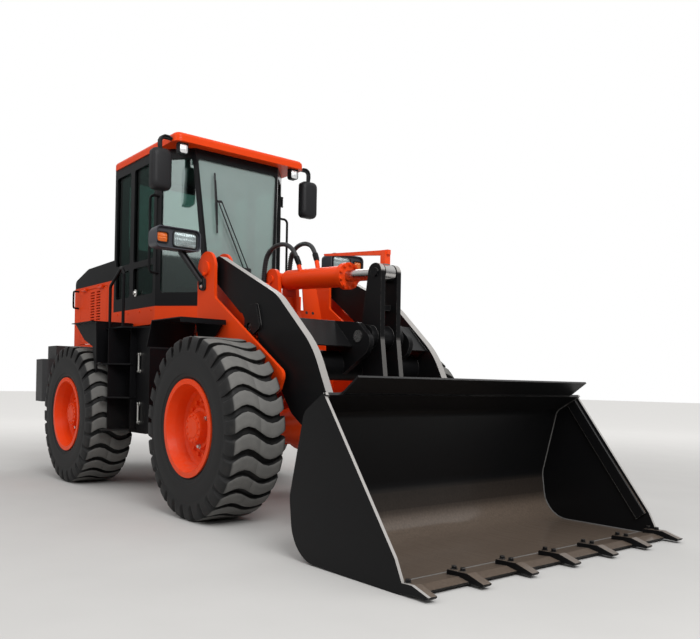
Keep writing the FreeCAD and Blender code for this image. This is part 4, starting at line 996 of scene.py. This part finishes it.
def rounded_path(corners, inset, steps=7):
    """Points along straight runs with round corners, drawn in to the left by inset."""
    places = [Vector((x, z)) for x, z, radius in corners]
    points = []
    for i, here in enumerate(places):
        radius = corners[i][2]
        if radius == 0:
            step = (places[1] - here) if i == 0 else (here - places[i - 1])
            step.normalize()
            points.append(here + Vector((-step.y, step.x)) * inset)
            continue
        back = (places[i - 1] - here).normalized()
        on = (places[i + 1] - here).normalized()
        half = back.angle(on) / 2
        centre = here + (back + on).normalized() * (radius / sin(half))
        first = here + back * (radius / tan(half)) - centre
        turn = pi - 2 * half
        for k in range(steps + 1):
            c, s = cos(turn * k / steps), sin(turn * k / steps)
            arm = Vector((first.x * c - first.y * s, first.x * s + first.y * c))
            points.append(centre + arm * (1 - inset / radius))
    return points


def bead_line(name, points, radius):
    """A weld bead on the bucket, in short straight runs."""
    return put_on(round_bar(name, points, "POLY", 2, 1.0, radius), bead, "bucket_shell")


# x, z and the corner's radius along the shell, from its upper edge to its lip
shell_corners = [(2.545, 0.965, 0), (2.352, 0.85, 0.09), (2.225, 0.36, 0.2), (2.27, 0.008, 0.23),
                 (3.18, 0.008, 0)]
shell_line = rounded_path(shell_corners, 0.017)
wear_line = [(2.236, 0.3), (2.3, 0.292), (2.34, 0.27), (2.365, 0.225), (2.4, 0.18), (2.47, 0.155),
             (2.9, 0.1)]
edge_ends = (Vector((2.535, 0, 0.93)), Vector((3.105, 0, 0.165)))
edge_way = Vector((3.119 - 2.529, 0, 0.17 - 0.962)).normalized()
edge_in = Vector((edge_way.z, 0, -edge_way.x))


def along_edge(depth, y):
    """The two ends of a line along a side plate's front edge, so deep behind it."""
    return [end + edge_in * depth + Vector((0, y, 0)) for end in edge_ends]


for side, hand in both_sides:
    bead_line("shell_bead_" + hand, [(x, side * 1.178, z) for x, z in shell_line], 0.005)
    bar("side_edge_" + hand, along_edge(0.045, side * 1.1755), 0.08, 0.022, (0, side, 0),
        bucket_black, "bucket_shell")
    bead_line("side_bead_" + hand, along_edge(0.088, side * 1.177), 0.004)
    bead_line("wear_bead_" + hand, [(x, side * 1.1958, z) for x, z in wear_line], 0.004)
bead_line("lip_bead", [(3.055, y, 0.0265) for y in (-1.17, 1.17)], 0.004)
tooth_count, outer_tooth = 7, 1.17
tooth_pitch = 2 * outer_tooth / (tooth_count - 1)
tooth_rows = [-outer_tooth + i * tooth_pitch for i in range(tooth_count)]
bolts("tooth_bolts", [(x, y, 0.06) for y in tooth_rows for x in (3.125, 3.185)], (0, 0, 1), 0.026, 0.02,
      working_black, "bucket_shell")
print("teeth at", [round(y, 2) for y in tooth_rows])

# %% [markdown]
# ## Small things along the side
# A loop handle on the hood, sight gauges on the tank, the door's lock and grip, and the screws of the
# panels: small as they are, the eye misses them at once. Handles are smooth bent bars, and the gauges
# are tubes between end blocks.

# %% Handles and gauges


def handle(name, points, radius, body="rear_half"):
    """A bent round bar through a few points."""
    return put_on(round_bar(name, points, "NURBS", 5, 1.0, radius), black_paint, body)


# y and z along the hood's handle
handle_line = [(0.522, 2.06), (0.575, 2.062), (0.585, 2.045), (0.585, 1.96), (0.585, 1.875),
               (0.575, 1.858), (0.522, 1.86)]
for side, hand in both_sides:
    handle("hood_handle_" + hand, [(-3.165, side * y, z) for y, z in handle_line], 0.011)
    for number, (low, high) in enumerate(((0.63, 0.8), (1.1, 1.255))):
        loft("gauge_tube_%s_%d" % (hand, number), (-0.765, side * 0.812, low), (0, 0, 1),
             turned([(0.01, 0.0), (0.01, high - low)], 16), bright_metal)
        bolts("gauge_ends_%s_%d" % (hand, number), [(-0.765, side * 0.8, z) for z in (low, high)],
              (0, side, 0), 0.026, 0.024, bright_metal)
loft("right_door_lock", (-1.145, -0.6905, 1.86), (0, -1, 0),
     turned([(0.034, 0.0), (0.034, 0.006), (0.02, 0.01), (0.016, 0.022), (0.01, 0.024)], 24),
     bright_metal)
loft("left_door_lock", (-1.2, 0.6905, 2.13), (0, 1, 0),
     moulded([(0.045, 0.022, 0.012, 0.0), (0.045, 0.022, 0.012, 0.01), (0.034, 0.014, 0.01, 0.014)]),
     lamp_black, "cab_door")
grip_line = [(0.7, 2.16), (0.735, 2.17), (0.738, 2.26), (0.735, 2.35), (0.692, 2.36)]
handle("left_door_grip", [(-1.175, y, z) for y, z in grip_line], 0.01, "cab_door")
panel_screw = (0.017, 0.007)        # across flats, height
for side, hand in both_sides:
    outward = (0, side, 0)
    bolts("skirt_bolts_" + hand, [(x, side * 0.6895, 1.675) for x in (-0.8, -1.05, -1.32, -1.58)],
          outward, *panel_screw, orange_paint)
    bolts("hood_bolts_" + hand, [(x, side * 0.5195, z) for x in (-1.8, -2.22) for z in (1.35, 1.7, 2.03)],
          outward, *panel_screw, orange_paint)
    bolts("weight_bolts_" + hand, [(-3.3295, side * y, z) for y in (0.62, 0.9) for z in (0.86, 1.14)],
          (-1, 0, 0), 0.05, 0.03, cast_black)
print("handles and gauges done")

# %% [markdown]
# ## The driver's seat
# The seat is the one soft piece, seen through the windscreen. Each cushion starts as a flat slab of
# quads whose rim is drawn in. A bulge swells it, two seams are pressed in across it, and subdivision
# rounds it off. It stands on a plain pedestal.

# %% The seat
seat_cloth = grained("seat_cloth", colour(0.03, 0.031, 0.034), 0.75, 700.0, 0.0005)


def cushion(name, centre, half, tilt, seams, bulge):
    """A stuffed slab: half its length, width and height, leaned back by tilt, with seams along x."""
    count = 24
    vertices = []
    for sign in (1, -1):
        for i in range(count + 1):
            for k in range(count + 1):
                u, v = i / count * 2 - 1, k / count * 2 - 1
                swell = (max(0.0, 1 - u ** 4) * max(0.0, 1 - v ** 4)) ** 0.35
                dent = sum(exp(-((v - at) / 0.045) ** 2) for at in seams) * 0.25
                corner = 1 - 0.05 * (u * v) ** 4
                height = half[2] * (0.72 * swell + bulge * (1 - u * u) * (1 - v * v) - dent * swell)
                vertices.append((half[0] * u * corner, half[1] * v * corner, sign * height))
    size = (count + 1) ** 2
    faces = []
    for i in range(count):
        for k in range(count):
            a = i * (count + 1) + k
            faces.append((a, a + count + 1, a + count + 2, a + 1))
            faces.append((size + a, size + a + 1, size + a + count + 2, size + a + count + 1))
    made = add_mesh(name, vertices, faces, smooth=True)
    weld = made.modifiers.new("joined rim", "WELD")
    weld.merge_threshold = 0.002
    smoothed = made.modifiers.new("rounded", "SUBSURF")
    smoothed.levels = 1
    smoothed.render_levels = 1
    made.matrix_world = Matrix.Translation(centre) @ Matrix.Rotation(tilt, 4, "Y")
    put_on(made, seat_cloth)
    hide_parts("seat")


cushion("seat_cushion", (-1.255, 0, 1.95), (0.242, 0.246, 0.062), radians(-2.0), (-0.55, 0.55), 0.1)
cushion("seat_back", (-1.52, 0, 2.3), (0.336, 0.236, 0.062), radians(-97.5), (-0.55, 0.55), 0.1)
pedestal = loft("seat_pedestal", (-1.27, 0, 1.582), (0, 0, 1), moulded([
    (0.188, 0.198, 0.03, 0.0), (0.188, 0.198, 0.03, 0.05), (0.15, 0.16, 0.03, 0.07),
    (0.15, 0.16, 0.03, 0.25), (0.188, 0.198, 0.03, 0.29), (0.188, 0.198, 0.03, 0.312)]),
    cab_plastic)
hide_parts("seat")
print("seat in three pieces")

# %% [markdown]
# ## Guards on the hoses
# A round wire is wound about the upright part of each hose, to keep it from chafing. The helix follows
# the hose's own line, read from the curve, and each end of a hose has a pressed fitting.

# %% Hose guards and fittings


def along_line(points, distance):
    """The place and the direction at a distance along the line."""
    for first, second in zip(points, points[1:]):
        step = (second - first).length
        if distance <= step and step > 0:
            return first.lerp(second, distance / step), (second - first).normalized()
        distance -= step
    return points[-1].copy(), (points[-1] - points[-2]).normalized()


def helix(line, start, length, pitch, out, steps=12):
    """Points of a wire that winds round a line, out metres from it."""
    turns = []
    across = Vector((1, 0, 0))
    for i in range(int(length / pitch) * steps):
        place, way = along_line(line, start + i * pitch / steps)
        across = (across - way * across.dot(way)).normalized()
        a = tau * i / steps
        turns.append(place + (across * cos(a) + way.cross(across) * sin(a)) * out)
    return turns


wire_radius = 0.0035
fitting = turned([(0.0245, 0.0), (0.0245, 0.055), (0.0215, 0.06), (0.0215, 0.075)], 20)
for number, hose in enumerate(hoses):
    line = line_points(hose)
    turns = helix(line, 0.05, 0.42, 0.016, hose_diameter / 2 + 0.0025)
    guard = round_bar("hose_guard_%d" % number, turns, "POLY", 1, wire_radius)
    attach(guard, "tilt_cylinder_barrel")
    dress(guard, lamp_black)
    for end, at in (("foot", 0.0), ("head", line_length(line) - 0.075)):
        place, way = along_line(line, at)
        loft("hose_%s_%d" % (end, number), place, way, fitting, working_black, "tilt_cylinder_barrel")
print("guards wound")
